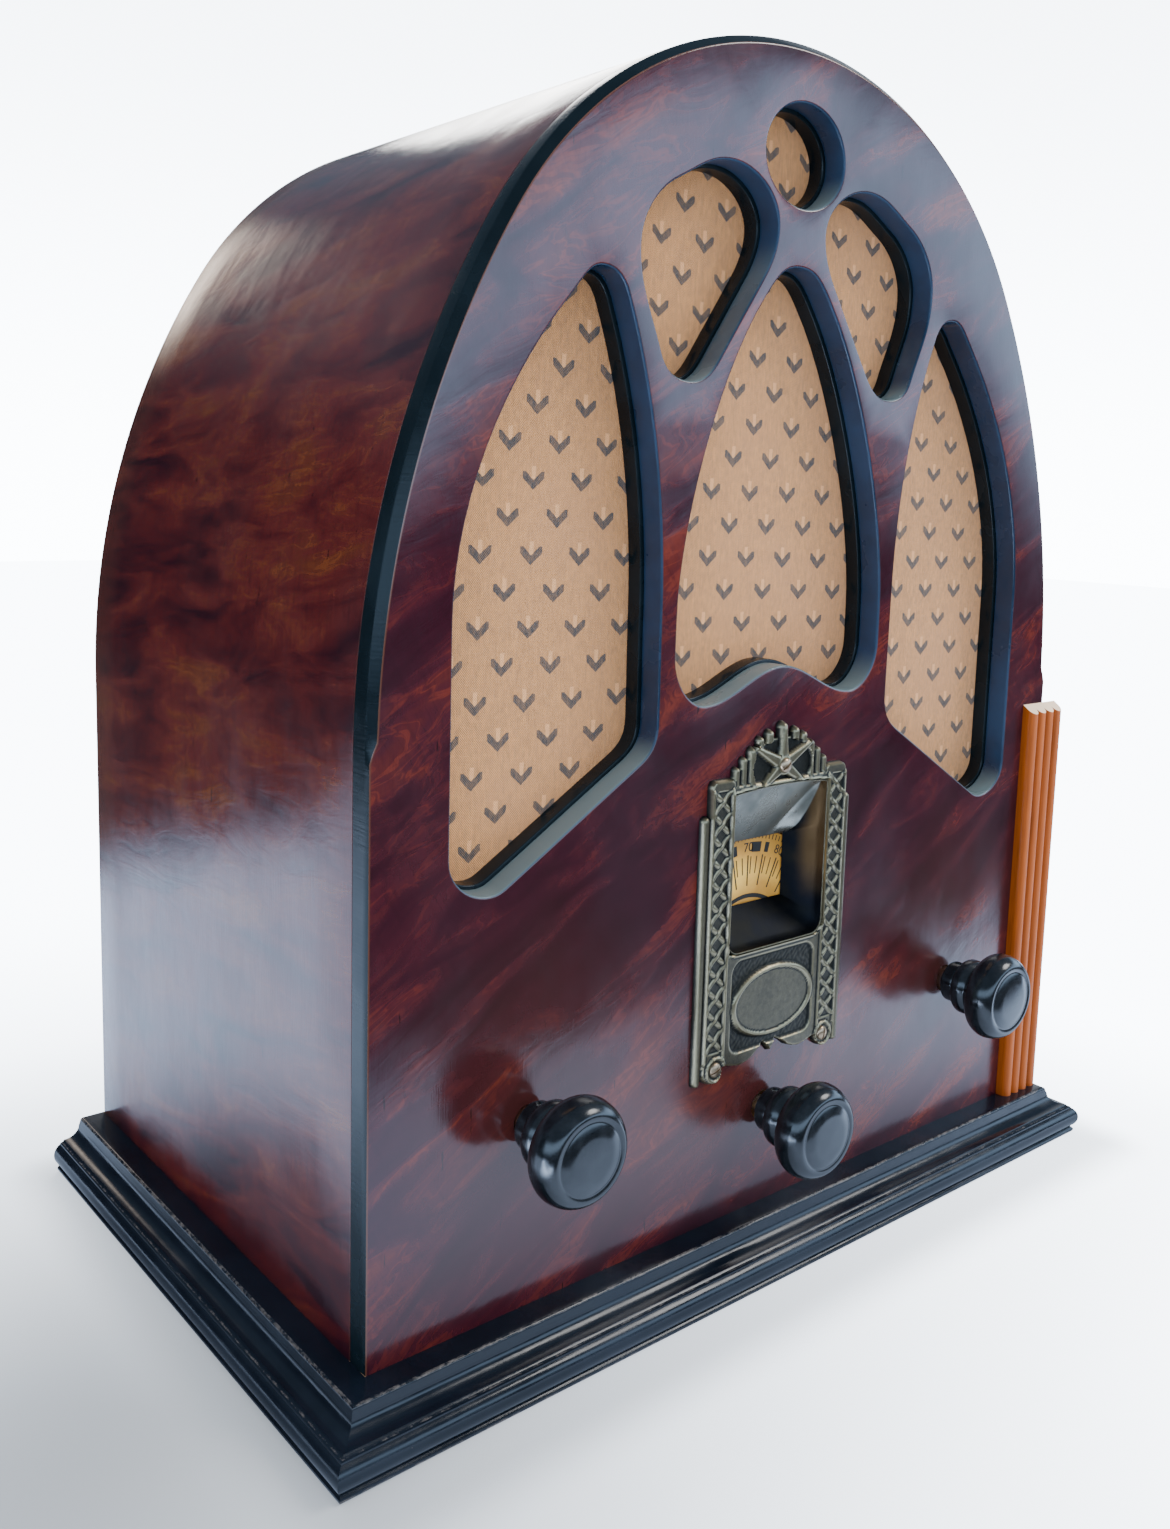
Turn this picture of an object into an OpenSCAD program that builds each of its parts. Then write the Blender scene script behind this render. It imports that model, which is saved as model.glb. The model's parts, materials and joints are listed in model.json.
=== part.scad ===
// Arched table radio receiver, early 1930s pattern: veneered cabinet on a moulded plinth,
// six grille windows, cast dial plate, three control knobs, chassis and loudspeaker.
// X runs left to right, Y from front to back, Z up. The origin is the bottom centre.

/* [Cabinet] */
// Width of the cabinet above the plinth
case_w = 335; // [331:1:345]
// Depth of the cabinet, front face to open back
case_d = 212; // [206:1:240]
// Height of the straight sides above the plinth
spring_h = 184; // [181:1:190]
// Radius of the arch over its top
arch_top_r = 144; // [141:1:147]
// Radius of the arch at its shoulders
arch_side_r = 300; // [290:1:310]
// Thickness of the veneered front board
panel_t = 9; // [8:0.5:10]
// Thickness of the bent side and top wrap
wrap_t = 8; // [6:0.5:9]
// Bevel round the front board's arched edge
bevel = 2.6; // [1:0.2:3.5]
// Width and depth of the rib inside the open back
rib_t = 12; // [8:1:16]
// Size of the glue blocks in the bottom corners
block_w = 14; // [10:1:16]

/* [Plinth] */
// Height of the plinth moulding
plinth_h = 20; // [18:1:24]
// Reach of the moulding beyond the cabinet
plinth_out = 20.5; // [19:0.5:23]
// Thickness of the board inside the moulding
base_t = 16; // [12:1:17]

/* [Grille] */
// Panel left between the side windows and the cabinet edge
rim_w = 27.5; // [26:0.5:30]
// Half the width of the middle window
mid_half = 51.8; // [50:0.5:53]
// Panel left between the middle and side windows
mullion_w = 7.2; // [6:0.2:9]
// Half width of the small oval window
oval_a = 19.5; // [16:0.5:20]
// Half height of the small oval window
oval_b = 17; // [14:0.5:18]
// Thickness of the grille board behind the front
grille_t = 6; // [4:0.5:8]
// Step in from the front windows to the grille board's
window_step = 1.3; // [0.8:0.1:2]
// Thickness of the grille cloth
cloth_t = 0.8; // [0.5:0.1:1]
// Thickness of the loudspeaker baffle
baffle_t = 8; // [6:0.5:12]

/* [Pilaster] */
// Width of the reeded pilaster
pilaster_w = 23.5; // [20:0.5:26]
// Thickness of its back strip
pilaster_t = 2.2; // [1.5:0.1:3]
// Height of the pilaster above the plinth
pilaster_h = 175; // [150:1:178]
// Overhang of the pilaster past the cabinet side
pilaster_over = 9; // [4:0.5:10]
// Number of reeds
reeds = 4; // [3:1:5]

/* [Dial plate] */
// Half width of the dial plate without its outer ribs
plate_half = 35; // [33:0.5:37]
// Thickness of the dial plate
plate_t = 2.6; // [2:0.1:3.2]
// Half width of the dial window
window_half = 24.2; // [22:0.2:25]
// Bottom and top of the dial window above the plinth
window_lo = 100.6; // [98:0.2:103]
window_hi = 159; // [156:0.5:160]
// Half width of the opening at the back of the funnel
throat_half = 17.5; // [14:0.5:19]
// Wall of the dial plate's funnel
funnel_wall = 1.4; // [1:0.1:1.8]

/* [Controls] */
// Distance of the outer controls from the centre line
control_x = 109; // [106:1:112]
// Height of the outer controls above the plinth
control_z = 63; // [60:0.5:66]
// Height of the tuning control above the plinth
tuning_z = 37.8; // [35:0.2:38]
// Radius of the knob heads
knob_r = 17.2; // [14:0.2:18]
// Reach of the knobs in front of the cabinet
knob_reach = 33; // [29:0.5:35]
// Gap between knob and front board
knob_gap = 3.2; // [1.5:0.1:4]
// Radius of the control shafts
shaft_r = 3.175; // [3:0.025:3.3]
// Radius of the threaded bushes
bush_r = 4.75; // [4.6:0.05:5]
// Running clearance of shafts in bushes
run_c = 0.06; // [0.04:0.01:0.1]

/* [Tuning] */
// Height of the dial axis above the plinth
dial_z = 92; // [91:0.5:94]
// Radius of the dial's metal disc
dial_r = 47; // [46:0.2:47.6]
// Thickness of the celluloid scale
scale_t = 0.8; // [0.5:0.1:1]
// Thickness of the dial's metal disc
disc_t = 1; // [0.8:0.1:1.4]
// Radius of the rotor plates
rotor_r = 28; // [24:0.5:29]
// Thickness of the condenser plates
fin_t = 1; // [0.8:0.1:1.2]
// Spacing of the rotor plates
fin_pitch = 3.6; // [3.4:0.1:3.8]
// Rotor plates in each gang
fins = 6; // [4:1:6]

/* [Chassis] */
// Width of the chassis
chassis_w = 250; // [244:1:270]
// Depth of the chassis
chassis_d = 150; // [146:1:160]
// Height of the chassis
chassis_h = 45; // [44.6:0.1:46]
// Thickness of the chassis steel
steel_t = 1.6; // [1.2:0.1:2]
// Distance of the chassis behind the front face
chassis_y = 17; // [16.6:0.1:18]
// Radius of the valve bulbs
bulb_r = 20; // [17:0.5:21]
// Height of the valves above their sockets
valve_h = 98; // [88:1:104]
// Radius of the valve shields
shield_r = 20; // [19.6:0.1:20.4]
// Radius of the coil cans
coil_r = 17; // [14:0.5:18]
// Height of the coil cans
coil_h = 62; // [50:1:70]
// Radius of the filter condensers
filter_r = 16.5; // [14:0.5:17]
// Height of the filter condensers
filter_h = 96; // [80:1:104]

/* [Loudspeaker] */
// Height of the loudspeaker above the plinth
speaker_z = 262; // [258:1:264]
// Outer radius of the loudspeaker basket
basket_r = 84; // [80:1:86]
// Radius of the cone's mouth
cone_r = 62; // [58:1:63]
// Depth of the cone
cone_d = 40; // [34:1:42]
// Radius of the field coil pot
pot_r = 40; // [36:1:42]
// Length of the field coil pot
pot_l = 52; // [44:1:54]
// Travel room round the cone
cone_c = 0.4; // [0.3:0.05:0.5]

/* [Hidden] */
$fn = 64;

// Fits and shared places
board_c = 0.3;
half_w = case_w / 2;
front_y = -(case_d - knob_reach) / 2;
shoulder_x = arch_side_r - half_w;
arch_gap = arch_side_r - arch_top_r;
rise = sqrt(arch_gap * arch_gap - shoulder_x * shoulder_x);
arch_h = spring_h + rise + arch_top_r;
far = 2 * arch_h;
grille_y = panel_t;
cloth_y = grille_y + grille_t;
baffle_y = cloth_y + cloth_t;
grille_z = window_hi - 37;
wood_dark = "#3b1418";
ebony = "#16181c";
ply = "#b98d5a";
brass = "#8d7a4c";
steel = "#b9bcc0";
bakelite = "#1c1a1b";

// Places a child at x, depth y behind the front face and height z above the plinth
module at(x, y, z) {
    translate([x, front_y + y, plinth_h + z]) children();
}

// Extrudes an outline in X and height into a slab between depths y and y + t
module slab(y, t) {
    translate([0, front_y + y + t, plinth_h]) rotate([90, 0, 0]) linear_extrude(t) children();
}

// A round bar along Y from depth y0 to y1
module bar_y(r, y0, y1, x = 0, z = 0) {
    at(x, y0, z) rotate([-90, 0, 0]) cylinder(r = r, h = y1 - y0);
}

// A turned piece on an axis along Y, its profile in radius and depth
module turned_y(x, z, profile) {
    at(x, 0, z) rotate([-90, 0, 0]) rotate_extrude() polygon(profile);
}

// A box from depth y0 to y1 and height z0 to z1
module block(x0, x1, y0, y1, z0, z1) {
    at(x0, y0, z0) cube([x1 - x0, y1 - y0, z1 - z0]);
}

function dir(a) = [cos(a), sin(a)];

function bez(a, b, c, d, t) =
    a * pow(1 - t, 3) + b * 3 * t * pow(1 - t, 2) + c * 3 * t * t * (1 - t) + d * pow(t, 3);

// Closed curve through nodes [x, z, heading, handle in, handle out], n steps a span
function outline(nodes, n) = [
    for (i = [0 : len(nodes) - 1])
        let (p = nodes[i], q = nodes[(i + 1) % len(nodes)], a = [p[0], p[1]], d = [q[0], q[1]])
        for (k = [0 : n - 1])
            bez(a, a + p[4] * dir(p[2]), d - q[3] * dir(q[2]), d, k / n)];

// A counter-clockwise outline drawn in by e along its normals
function drawn_in(pts, e) = [
    for (i = [0 : len(pts) - 1])
        let (a = pts[(i + len(pts) - 1) % len(pts)], b = pts[(i + 1) % len(pts)],
            t = (b - a) / norm(b - a))
        pts[i] + e * [-t[1], t[0]]];

// Sector above the lines on which the shoulder arcs meet the top arc
module arch_sector(y, t) {
    ux = shoulder_x / arch_gap * far;
    uz = rise / arch_gap * far;
    crown = spring_h + rise;
    slab(y, t) polygon([[0, crown], [ux, crown + uz], [ux, crown + 2 * far],
        [-ux, crown + 2 * far], [-ux, crown + uz]]);
}

// Solid arch between depths y and y + t, drawn in by e0 at the front and e1 at the back
module arch(y, t, e0 = 0, e1 = 0, low = 0) {
    inner = max(e0, e1);
    difference() {
        union() {
            slab(y, t) translate([-half_w + inner, low])
                square([case_w - 2 * inner, spring_h - low]);
            intersection() {
                for_side(-1) shoulder(y, t, e0, e1);
                for_side(1) shoulder(y, t, e0, e1);
                slab(y, t) translate([-half_w, spring_h]) square([case_w, rise + arch_top_r]);
            }
        }
        arch_sector(y - 1, t + 2);
    }
    intersection() {
        at(0, y, spring_h + rise) rotate([-90, 0, 0])
            cylinder(r1 = arch_top_r - e0, r2 = arch_top_r - e1, h = t, $fn = 180);
        arch_sector(y - 1, t + 2);
    }
}

module for_side(s) {
    translate([s * shoulder_x, 0, 0]) children();
}

module shoulder(y, t, e0, e1) {
    at(0, y, spring_h) rotate([-90, 0, 0])
        cylinder(r1 = arch_side_r - e0, r2 = arch_side_r - e1, h = t, $fn = 360);
}

// Window outlines, right hand side, as curves through a few nodes
side_out = half_w - rim_w;
side_in = mid_half + mullion_w;
side_window = outline([
    [side_out, spring_h - 32, 90, 10, 25],
    [side_out, spring_h + 38, 90, 20, 34],
    [side_out - 41, arch_h - 91, 132, 38, 6],
    [side_out - 52.5, arch_h - 82, 180, 5, 5],
    [side_in + 18, arch_h - 90, 248, 6, 32],
    [side_in + 0.3, spring_h + 38, 270, 36, 12],
    [side_in, spring_h + 2, 270, 12, 7],
    [side_in + 8.5, spring_h - 11.5, 329, 6, 20],
    [side_out - 20, spring_h - 43.5, 329, 20, 8]], 8);
mid_right = [
    [0, spring_h + 17.5, 0, 13, 13],
    [mid_half - 14.5, spring_h + 6, 0, 13, 7],
    [mid_half, spring_h + 23, 90, 9, 6],
    [mid_half, spring_h + 36, 90, 6, 30],
    [16, arch_h - 83, 128, 34, 8]];
mid_window = outline(concat(mid_right, [[0, arch_h - 72.5, 180, 8, 8]],
    [for (i = [4 : -1 : 1]) let (p = mid_right[i]) [-p[0], p[1], 360 - p[2], p[4], p[3]]]), 8);
leaf_window = outline([
    [72.5, arch_h - 72, 94, 13, 8],
    [58, arch_h - 52, 153, 9, 10],
    [34, arch_h - 43, 180, 10, 10],
    [12, arch_h - 60, 268, 10, 6],
    [18, arch_h - 77, 304, 6, 14],
    [37, arch_h - 105, 304, 14, 6],
    [50, arch_h - 113.5, 0, 6, 6],
    [63, arch_h - 105, 70, 7, 12]], 8);
oval_window = [for (i = [0 : 35]) [oval_a * cos(10 * i), arch_h - 36 + oval_b * sin(10 * i)]];

module windows(e) {
    for (s = [0, 1]) mirror([s, 0]) {
        polygon(drawn_in(side_window, e));
        polygon(drawn_in(leaf_window, e));
    }
    polygon(drawn_in(mid_window, e));
    polygon(drawn_in(oval_window, e));
}

// Plinth moulding profile, outward reach and height: bottom bead, groove, bead, cove, flat lip
bead_z = plinth_h - 13.2;
cove_x = plinth_out - 4.2;
lip_x = plinth_out - 10.8;
plinth_profile = concat(
    [[0, 0], [plinth_out - 1.6, 0], [plinth_out - 1.2, 1.6], [plinth_out - 1.9, 2.4]],
    [for (a = [-62 : 12.4 : 62]) [plinth_out - 4.4 + 4.4 * cos(a), bead_z + 4.8 * sin(a)]],
    [[plinth_out - 3.2, bead_z + 5.2]],
    [for (a = [0 : 15 : 90]) [cove_x - 6 * sin(a) + 0.2, plinth_h - 7.4 + 4.6 * (1 - cos(a))]],
    [for (a = [0 : 22.5 : 90]) [lip_x - 1.3 + 1.3 * cos(a), plinth_h - 1.3 + 1.3 * sin(a)]],
    [[0, plinth_h]]);

module plinth_length(x0, x1) {
    translate([x0, 0, 0]) rotate([90, 0, 90]) linear_extrude(x1 - x0)
        polygon([for (p = plinth_profile) [-p[0], p[1]]]);
}

module plinth_front() {
    color(ebony) intersection() {
        translate([0, front_y, 0])
            plinth_length(-half_w - plinth_out, half_w + plinth_out);
        translate([0, front_y, -1]) linear_extrude(plinth_h + 2)
            polygon([[-half_w, 0], [-half_w - 2 * plinth_out, -2 * plinth_out],
                [half_w + 2 * plinth_out, -2 * plinth_out], [half_w, 0]]);
    }
}

module plinth_side() {
    color(ebony) intersection() {
        translate([half_w, front_y, 0]) rotate([0, 0, 90])
            plinth_length(-plinth_out, case_d);
        translate([half_w, front_y, -1]) linear_extrude(plinth_h + 2)
            polygon([[0, 0], [2 * plinth_out, -2 * plinth_out], [2 * plinth_out, case_d],
                [0, case_d]]);
    }
}

module plinth_left() { mirror([1, 0, 0]) plinth_side(); }
module plinth_right() { plinth_side(); }

module base_board() {
    color(ply) difference() {
        block(-half_w, half_w, 0, case_d, -base_t, 0);
        for (p = foot_bolts) at(p[0], p[1], -10) cylinder(r = 2.15, h = 11);
    }
}

module cabinet_wrap() {
    color("#5a1f1c") difference() {
        arch(panel_t, case_d - panel_t);
        arch(panel_t - 1, case_d - panel_t + 2, wrap_t, wrap_t, -1);
    }
}

module rear_rib() {
    color(ply) difference() {
        arch(case_d - rib_t - 6, rib_t, wrap_t, wrap_t);
        arch(case_d - rib_t - 7, rib_t + 2, wrap_t + rib_t, wrap_t + rib_t, -1);
    }
}

module glue_blocks() {
    inner = half_w - wrap_t;
    color(ply) for (s = [0, 1]) mirror([s, 0, 0])
        for (y = [panel_t + 30, case_d / 2, case_d - rib_t - 46])
            at(inner, y, 0) rotate([-90, 0, 0]) linear_extrude(30)
                polygon([[0, 0], [-block_w, 0], [0, -block_w]]);
}

screw_top = [0, window_hi + 7.2];
foot_x = plate_half - 6.6;
foot_z = window_lo - 41;
plate_screws = [screw_top, [-foot_x, foot_z], [foot_x, foot_z]];
shaft_hole = bush_r + 0.85;
funnel_hole = funnel_wall + 0.4;

module front_panel() {
    color(wood_dark) difference() {
        union() {
            arch(0, bevel, bevel, 0);
            arch(bevel, panel_t - bevel);
            slab(0, bevel) translate([-half_w, 0]) square([case_w, spring_h]);
        }
        slab(-1, panel_t + 2) windows(0);
        slab(-1, panel_t + 2)
            translate([-window_half - funnel_hole, window_lo - funnel_hole])
            square([2 * (window_half + funnel_hole), window_hi - window_lo + 2 * funnel_hole]);
        for (x = [-control_x, control_x])
            bar_y(shaft_hole, -1, panel_t + 1, x, control_z);
        bar_y(shaft_hole, -1, panel_t + 1, 0, tuning_z);
        for (p = plate_screws) bar_y(1.3, -1, 8, p[0], p[1]);
    }
}

dial_notch = dial_r + 7;
module grille_board() {
    color(ply) difference() {
        arch(grille_y, grille_t, wrap_t + board_c, wrap_t + board_c, grille_z);
        slab(grille_y - 1, grille_t + 2) windows(window_step);
        slab(grille_y - 1, grille_t + 2) translate([-dial_notch, grille_z - 1])
            square([2 * dial_notch, window_hi + 8 - grille_z]);
    }
}

cloth_in = wrap_t + 8;
module grille_cloth() {
    color("#c8a073") difference() {
        arch(cloth_y, cloth_t, cloth_in, cloth_in, grille_z + 4);
        slab(cloth_y - 1, cloth_t + 2) translate([-dial_notch, grille_z])
            square([2 * dial_notch, window_hi + 8 - grille_z]);
    }
}

speaker_hole = cone_r + 6;
bolt_ring = basket_r - 5;
speaker_bolt_angles = [45 : 90 : 315];
module speaker_board() {
    color(ply) difference() {
        arch(baffle_y, baffle_t, cloth_in, cloth_in, window_hi + 10);
        bar_y(speaker_hole, baffle_y - 1, baffle_y + baffle_t + 1, 0, speaker_z);
        for (a = speaker_bolt_angles)
            bar_y(1.9, baffle_y + 2, baffle_y + baffle_t + 1,
                bolt_ring * cos(a), speaker_z + bolt_ring * sin(a));
    }
}

module pilaster() {
    right = half_w + pilaster_over;
    pitch = pilaster_w / reeds;
    reed_r = pitch / 2;
    color("#b5602f") difference() {
        union() {
            block(right - pilaster_w, right, -pilaster_t, 0, 0, pilaster_h);
            for (i = [0 : reeds - 1])
                at(right - pilaster_w + pitch * (i + 0.5), -pilaster_t, 0)
                    cylinder(r = reed_r, h = pilaster_h);
        }
        block(right - pilaster_w - 1, right + 1, 0, reed_r + 1, -1, pilaster_h + 1);
        at(right - pilaster_w - 1, 0, pilaster_h) rotate([35, 0, 0])
            translate([0, -20, 0]) cube([pilaster_w + 2, 22, 20]);
    }
}

// Dial plate: crown of stepped fingers, latticed side bars, funnelled window, oval boss
finger_x = [0, 6.7, 11.3, 15.2, 19.2, 22.7];
finger_top = [23, 20.6, 18.5, 15.2, 12, 8.8];
finger_foot = [9, 8, 7, 0.6, 0.6, 0.6];
finger_r = [2.4, 2, 1.7, 2, 1.5, 1.5];
bar_w = plate_half - window_half;
bar_mid = (plate_half + window_half) / 2;
bar_top = window_hi + 5;
plate_foot = foot_z - 5.4;
skirt_t = plate_t - 1.2;
relief = 1;
throat_lo = window_lo + 11.4;
throat_hi = throat_lo + 24;
throat_y = panel_t + 3;
window_round = 5;

// Window outline grown by e: arched head, rounded lower corners
module window_shape(e) {
    w = window_half + e;
    translate([0, window_lo]) for (s = [-1, 1])
        translate([s * (window_half - window_round), window_round])
            circle(window_round + e, $fn = 32);
    translate([-window_half + window_round, window_lo - e])
        square([2 * (window_half - window_round), window_round]);
    translate([-w, window_lo + window_round]) square([2 * w, window_hi - window_lo - 6.4]);
    polygon([for (x = [-w : w / 8 : w + 0.1])
        [x, window_hi + e - 1.4 * x * x / w / w]],
        [[for (i = [0 : 16]) i]]);
}

module crown_outline() {
    for (s = [0, 1]) mirror([s, 0]) for (i = [0 : 5]) {
        translate([finger_x[i] - finger_r[i], window_hi - 3])
            square([2 * finger_r[i], finger_top[i] + 3 - finger_r[i]]);
        translate([finger_x[i], window_hi + finger_top[i] - finger_r[i]])
            circle(finger_r[i]);
    }
    polygon([[-window_half, window_hi - 4], [window_half, window_hi - 4],
        [window_half, window_hi + 5], [15, window_hi + 13], [6, window_hi + 17],
        [-6, window_hi + 17], [-15, window_hi + 13], [-window_half, window_hi + 5]]);
}

module rib_outline() {
    for (s = [-1, 1]) translate([s * (plate_half + 1.7) - 2.2, plate_foot])
        square([4.4, bar_top - plate_foot - 12]);
}

module body_outline() {
    for (s = [0, 1]) mirror([s, 0]) {
        translate([window_half - 1, plate_foot + 5]) square([bar_w + 1, bar_top - plate_foot - 9]);
        translate([window_half - 1, bar_top - 5]) square([bar_w - 3, 5]);
        translate([plate_half - 4, bar_top - 4]) circle(4);
        translate([bar_mid, plate_foot + 5.2]) circle(5.2);
        // lower edge swags up from the feet to the pendant
        polygon([[0, window_lo], [0, plate_foot + 5], [3.2, plate_foot + 9],
            [6.4, plate_foot + 7.4], [9, plate_foot + 5.2], [12, plate_foot + 4],
            [15.5, plate_foot + 3.4], [19, plate_foot + 3.9], [window_half + 1, plate_foot + 6],
            [window_half + 1, window_lo]]);
    }
    translate([-window_half, window_hi - 6]) square([2 * window_half, 8.4]);
}

module funnel_space(e, y0, y1) {
    hull() {
        slab(y0, 0.01) window_shape(e);
        slab(y1 - 0.01, 0.01) translate([-throat_half - e, throat_lo - e])
            square([2 * (throat_half + e), throat_hi - throat_lo + 2 * e]);
    }
}

lattice_lo = plate_foot + 12;
lattice_n = 12;
lattice_pitch = (bar_top - 4 - lattice_lo) / lattice_n;
module lattice() {
    w = bar_w - 2.6;
    for (i = [0 : lattice_n - 1]) for (s = [-1, 1])
        translate([0, lattice_lo + (i + 0.5) * lattice_pitch])
            polygon([[-w / 2, -s * lattice_pitch / 2 - 0.6], [w / 2, s * lattice_pitch / 2 - 0.6],
                [w / 2, s * lattice_pitch / 2 + 0.6], [-w / 2, -s * lattice_pitch / 2 + 0.6]]);
}

// Star of ribs round the upper screw, wide at the boss
module star() {
    for (a = [27, 90, 153, 215, 327]) rotate(a)
        polygon([[0, -2.4], [5, -0.9], [a < 180 ? 14 : 9, -0.6], [a < 180 ? 14 : 9, 0.6],
            [5, 0.9], [0, 2.4]]);
}

module oval(a, b) {
    translate([0, foot_z + 19.8]) polygon([for (t = [0 : 10 : 350]) [a * cos(t), b * sin(t)]]);
}

field_half = window_half - 2.4;
module dial_plate() {
    color(brass) difference() {
        union() {
            slab(-plate_t, plate_t) difference() {
                body_outline();
                window_shape(0);
            }
            slab(-skirt_t, skirt_t) difference() {
                union() {
                    crown_outline();
                    rib_outline();
                }
                window_shape(0);
            }
            difference() {
                funnel_space(funnel_wall, 0, throat_y);
                funnel_space(0, -0.01, throat_y + 0.01);
            }
            slab(-plate_t - relief, relief) for (s = [0, 1]) mirror([s, 0]) {
                translate([bar_mid, 0]) lattice();
                for (x = [window_half, plate_half - 1.3])
                    translate([x, lattice_lo - 4]) square([1.3, bar_top - lattice_lo]);
                translate([foot_x, foot_z]) difference() {
                    circle(5);
                    circle(3.6);
                }
            }
            slab(-plate_t - 0.6, plate_t + 0.6) difference() {
                oval(21.6, 13);
                oval(20, 11.5);
            }
            slab(-plate_t, plate_t) oval(20.5, 12);
            intersection() {
                union() {
                    for (s = [-1, 1]) at(s * (plate_half + 2.2), -skirt_t, plate_foot)
                        cylinder(r = 1.6, h = bar_top - plate_foot - 12);
                    for (i = [0 : 5]) for (s = i == 0 ? [1] : [-1, 1])
                        at(s * finger_x[i], -skirt_t, window_hi + finger_foot[i]) {
                            rise = finger_top[i] - finger_foot[i] - finger_r[i];
                            cylinder(r = finger_r[i] * 0.75, h = rise);
                            translate([0, 0, rise])
                                sphere(r = finger_r[i] * 0.75, $fn = 24);
                        }
                }
                block(-plate_half - 8, plate_half + 8, -8, 0, plate_foot - 1, bar_top + 30);
            }
            bar_y(3.8, -plate_t - relief, 0, screw_top[0], screw_top[1]);
            slab(-plate_t, plate_t) translate(screw_top) star();
        }
        difference() {
            slab(-plate_t - 0.01, 1) translate([0, foot_z + 3]) for (s = [0, 1]) mirror([s, 0]) {
                translate([-0.1, 0]) square([field_half + 0.1, 30]);
                translate([-0.1, 30]) square([field_half - 4.9, 5]);
                translate([field_half - 5, 30]) circle(5);
            }
            slab(-plate_t - 1, plate_t) oval(21.6, 13);
        }
        for (p = plate_screws) bar_y(1.5, -plate_t - 2, 1, p[0], p[1]);
    }
}

module dial_plate_screws() {
    color(brass) for (p = plate_screws) {
        seat = -plate_t - (p == screw_top ? relief : 0);
        difference() {
            turned_y(p[0], p[1], concat([for (a = [0 : 18 : 90])
                [2.7 * sin(a), seat - 1.4 * cos(a)]],
                [[1.25, seat], [1.25, panel_t - 1.2], [0, panel_t - 1.2]]));
            at(p[0], seat - 2, p[1]) rotate([0, 35, 0])
                translate([-3, 0, -0.35]) cube([6, 1.3, 0.7]);
        }
    }
}

// Knob profile from the neck at the panel to the domed head
function knob_profile() = let (r = knob_r, f = knob_reach, g = knob_gap) [
    [shaft_r + 0.03, -g], [7.6, -g], [8.2, -g - 0.6], [8.2, -g - 4.9], [7.6, -g - 5.7],
    [10.4, -g - 6.6], [11.2, -g - 8], [11.2, -g - 10.4], [10.4, -g - 11.8],
    [9.6, -g - 13], [10.4, -g - 14.4], [r - 3.6, -f + 14], [r - 1.1, -f + 12.2],
    [r, -f + 9.4], [r, -f + 7.6], [r - 0.5, -f + 5], [r - 1.7, -f + 2.8], [r - 3.4, -f + 1.3],
    [r - 4.8, -f + 0.9], [r - 5.6, -f + 1.6], [r - 6.3, -f + 0.9], [r - 9, -f + 0.3],
    [0, -f], [0, -f + 9.5], [shaft_r + 0.03, -f + 9.5]];

module knob(x, z) {
    color(bakelite) difference() {
        turned_y(x, z, knob_profile());
        at(x, -knob_gap - 3.2, z) cylinder(r = 1.6, h = 12);
    }
}

module set_screw(x, z) {
    color(steel) at(x, -knob_gap - 3.2, z + shaft_r) difference() {
        cylinder(r = 1.55, h = 4.2);
        translate([-2, -0.3, 3.4]) cube([4, 0.6, 2]);
    }
}

module volume_knob() { knob(-control_x, control_z); }
module tuning_knob() { knob(0, tuning_z); }
module tone_knob() { knob(control_x, control_z); }
module volume_set_screw() { set_screw(-control_x, control_z); }
module tuning_set_screw() { set_screw(0, tuning_z); }
module tone_set_screw() { set_screw(control_x, control_z); }

knob_seat = -knob_reach + 9.5;
control_back = chassis_y + steel_t + 15;
module control_shaft(x) {
    color(steel) bar_y(shaft_r, knob_seat, control_back - 3, x, control_z);
}
module volume_shaft() { control_shaft(-control_x); }
module tone_shaft() { control_shaft(control_x); }

// The tuning shaft carries a grooved spool that grips the rim of the dial's disc
dial_y = throat_y + 0.6;
disc_y = dial_y + scale_t;
pinch_c = 0.2;
core_r = dial_z - tuning_z - dial_r - 0.4;
module tuning_shaft() {
    disc_end = disc_y + disc_t;
    color(steel) turned_y(0, tuning_z, [
        [0, knob_seat], [shaft_r, knob_seat], [shaft_r, disc_y - pinch_c - 1.2],
        [core_r + 2.8, disc_y - pinch_c - 1.2], [core_r + 2.8, disc_y - pinch_c],
        [core_r, disc_y - pinch_c], [core_r, disc_end + pinch_c],
        [core_r + 2.8, disc_end + pinch_c], [core_r + 2.8, disc_end + pinch_c + 0.8],
        [shaft_r, disc_end + pinch_c + 0.8], [shaft_r, chassis_y + 20], [0, chassis_y + 20]]);
}

module tuning_bush() {
    color(brass) turned_y(0, tuning_z, [
        [shaft_r + run_c, chassis_y - 0.6], [bush_r, chassis_y - 0.6],
        [bush_r, chassis_y + steel_t], [5.4, chassis_y + steel_t], [5.4, chassis_y + steel_t + 2],
        [bush_r, chassis_y + steel_t + 2], [bush_r, chassis_y + 16],
        [shaft_r + run_c, chassis_y + 16]]);
}

scale_r = dial_r - 3.2;
module dial_scale() {
    color("#e8c877") difference() {
        bar_y(scale_r, dial_y, disc_y, 0, dial_z);
        bar_y(7, dial_y - 1, disc_y + 1, 0, dial_z);
    }
}

shaft_front = dial_y;
module dial_hub() {
    color(steel) difference() {
        union() {
            bar_y(dial_r, disc_y, disc_y + disc_t, 0, dial_z);
            bar_y(7, dial_y, disc_y, 0, dial_z);
            bar_y(8, disc_y + disc_t, disc_y + disc_t + 6, 0, dial_z);
        }
        bar_y(shaft_r + 0.02, dial_y - 1, disc_y + disc_t + 7, 0, dial_z);
        // light slots behind the scale
        for (a = [20 : 40 : 340]) at(0, disc_y - 1, dial_z) rotate([0, a, 0]) translate([24, 0, -5]) cube([scale_r - 28, disc_t + 2, 10]);
    }
}

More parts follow.
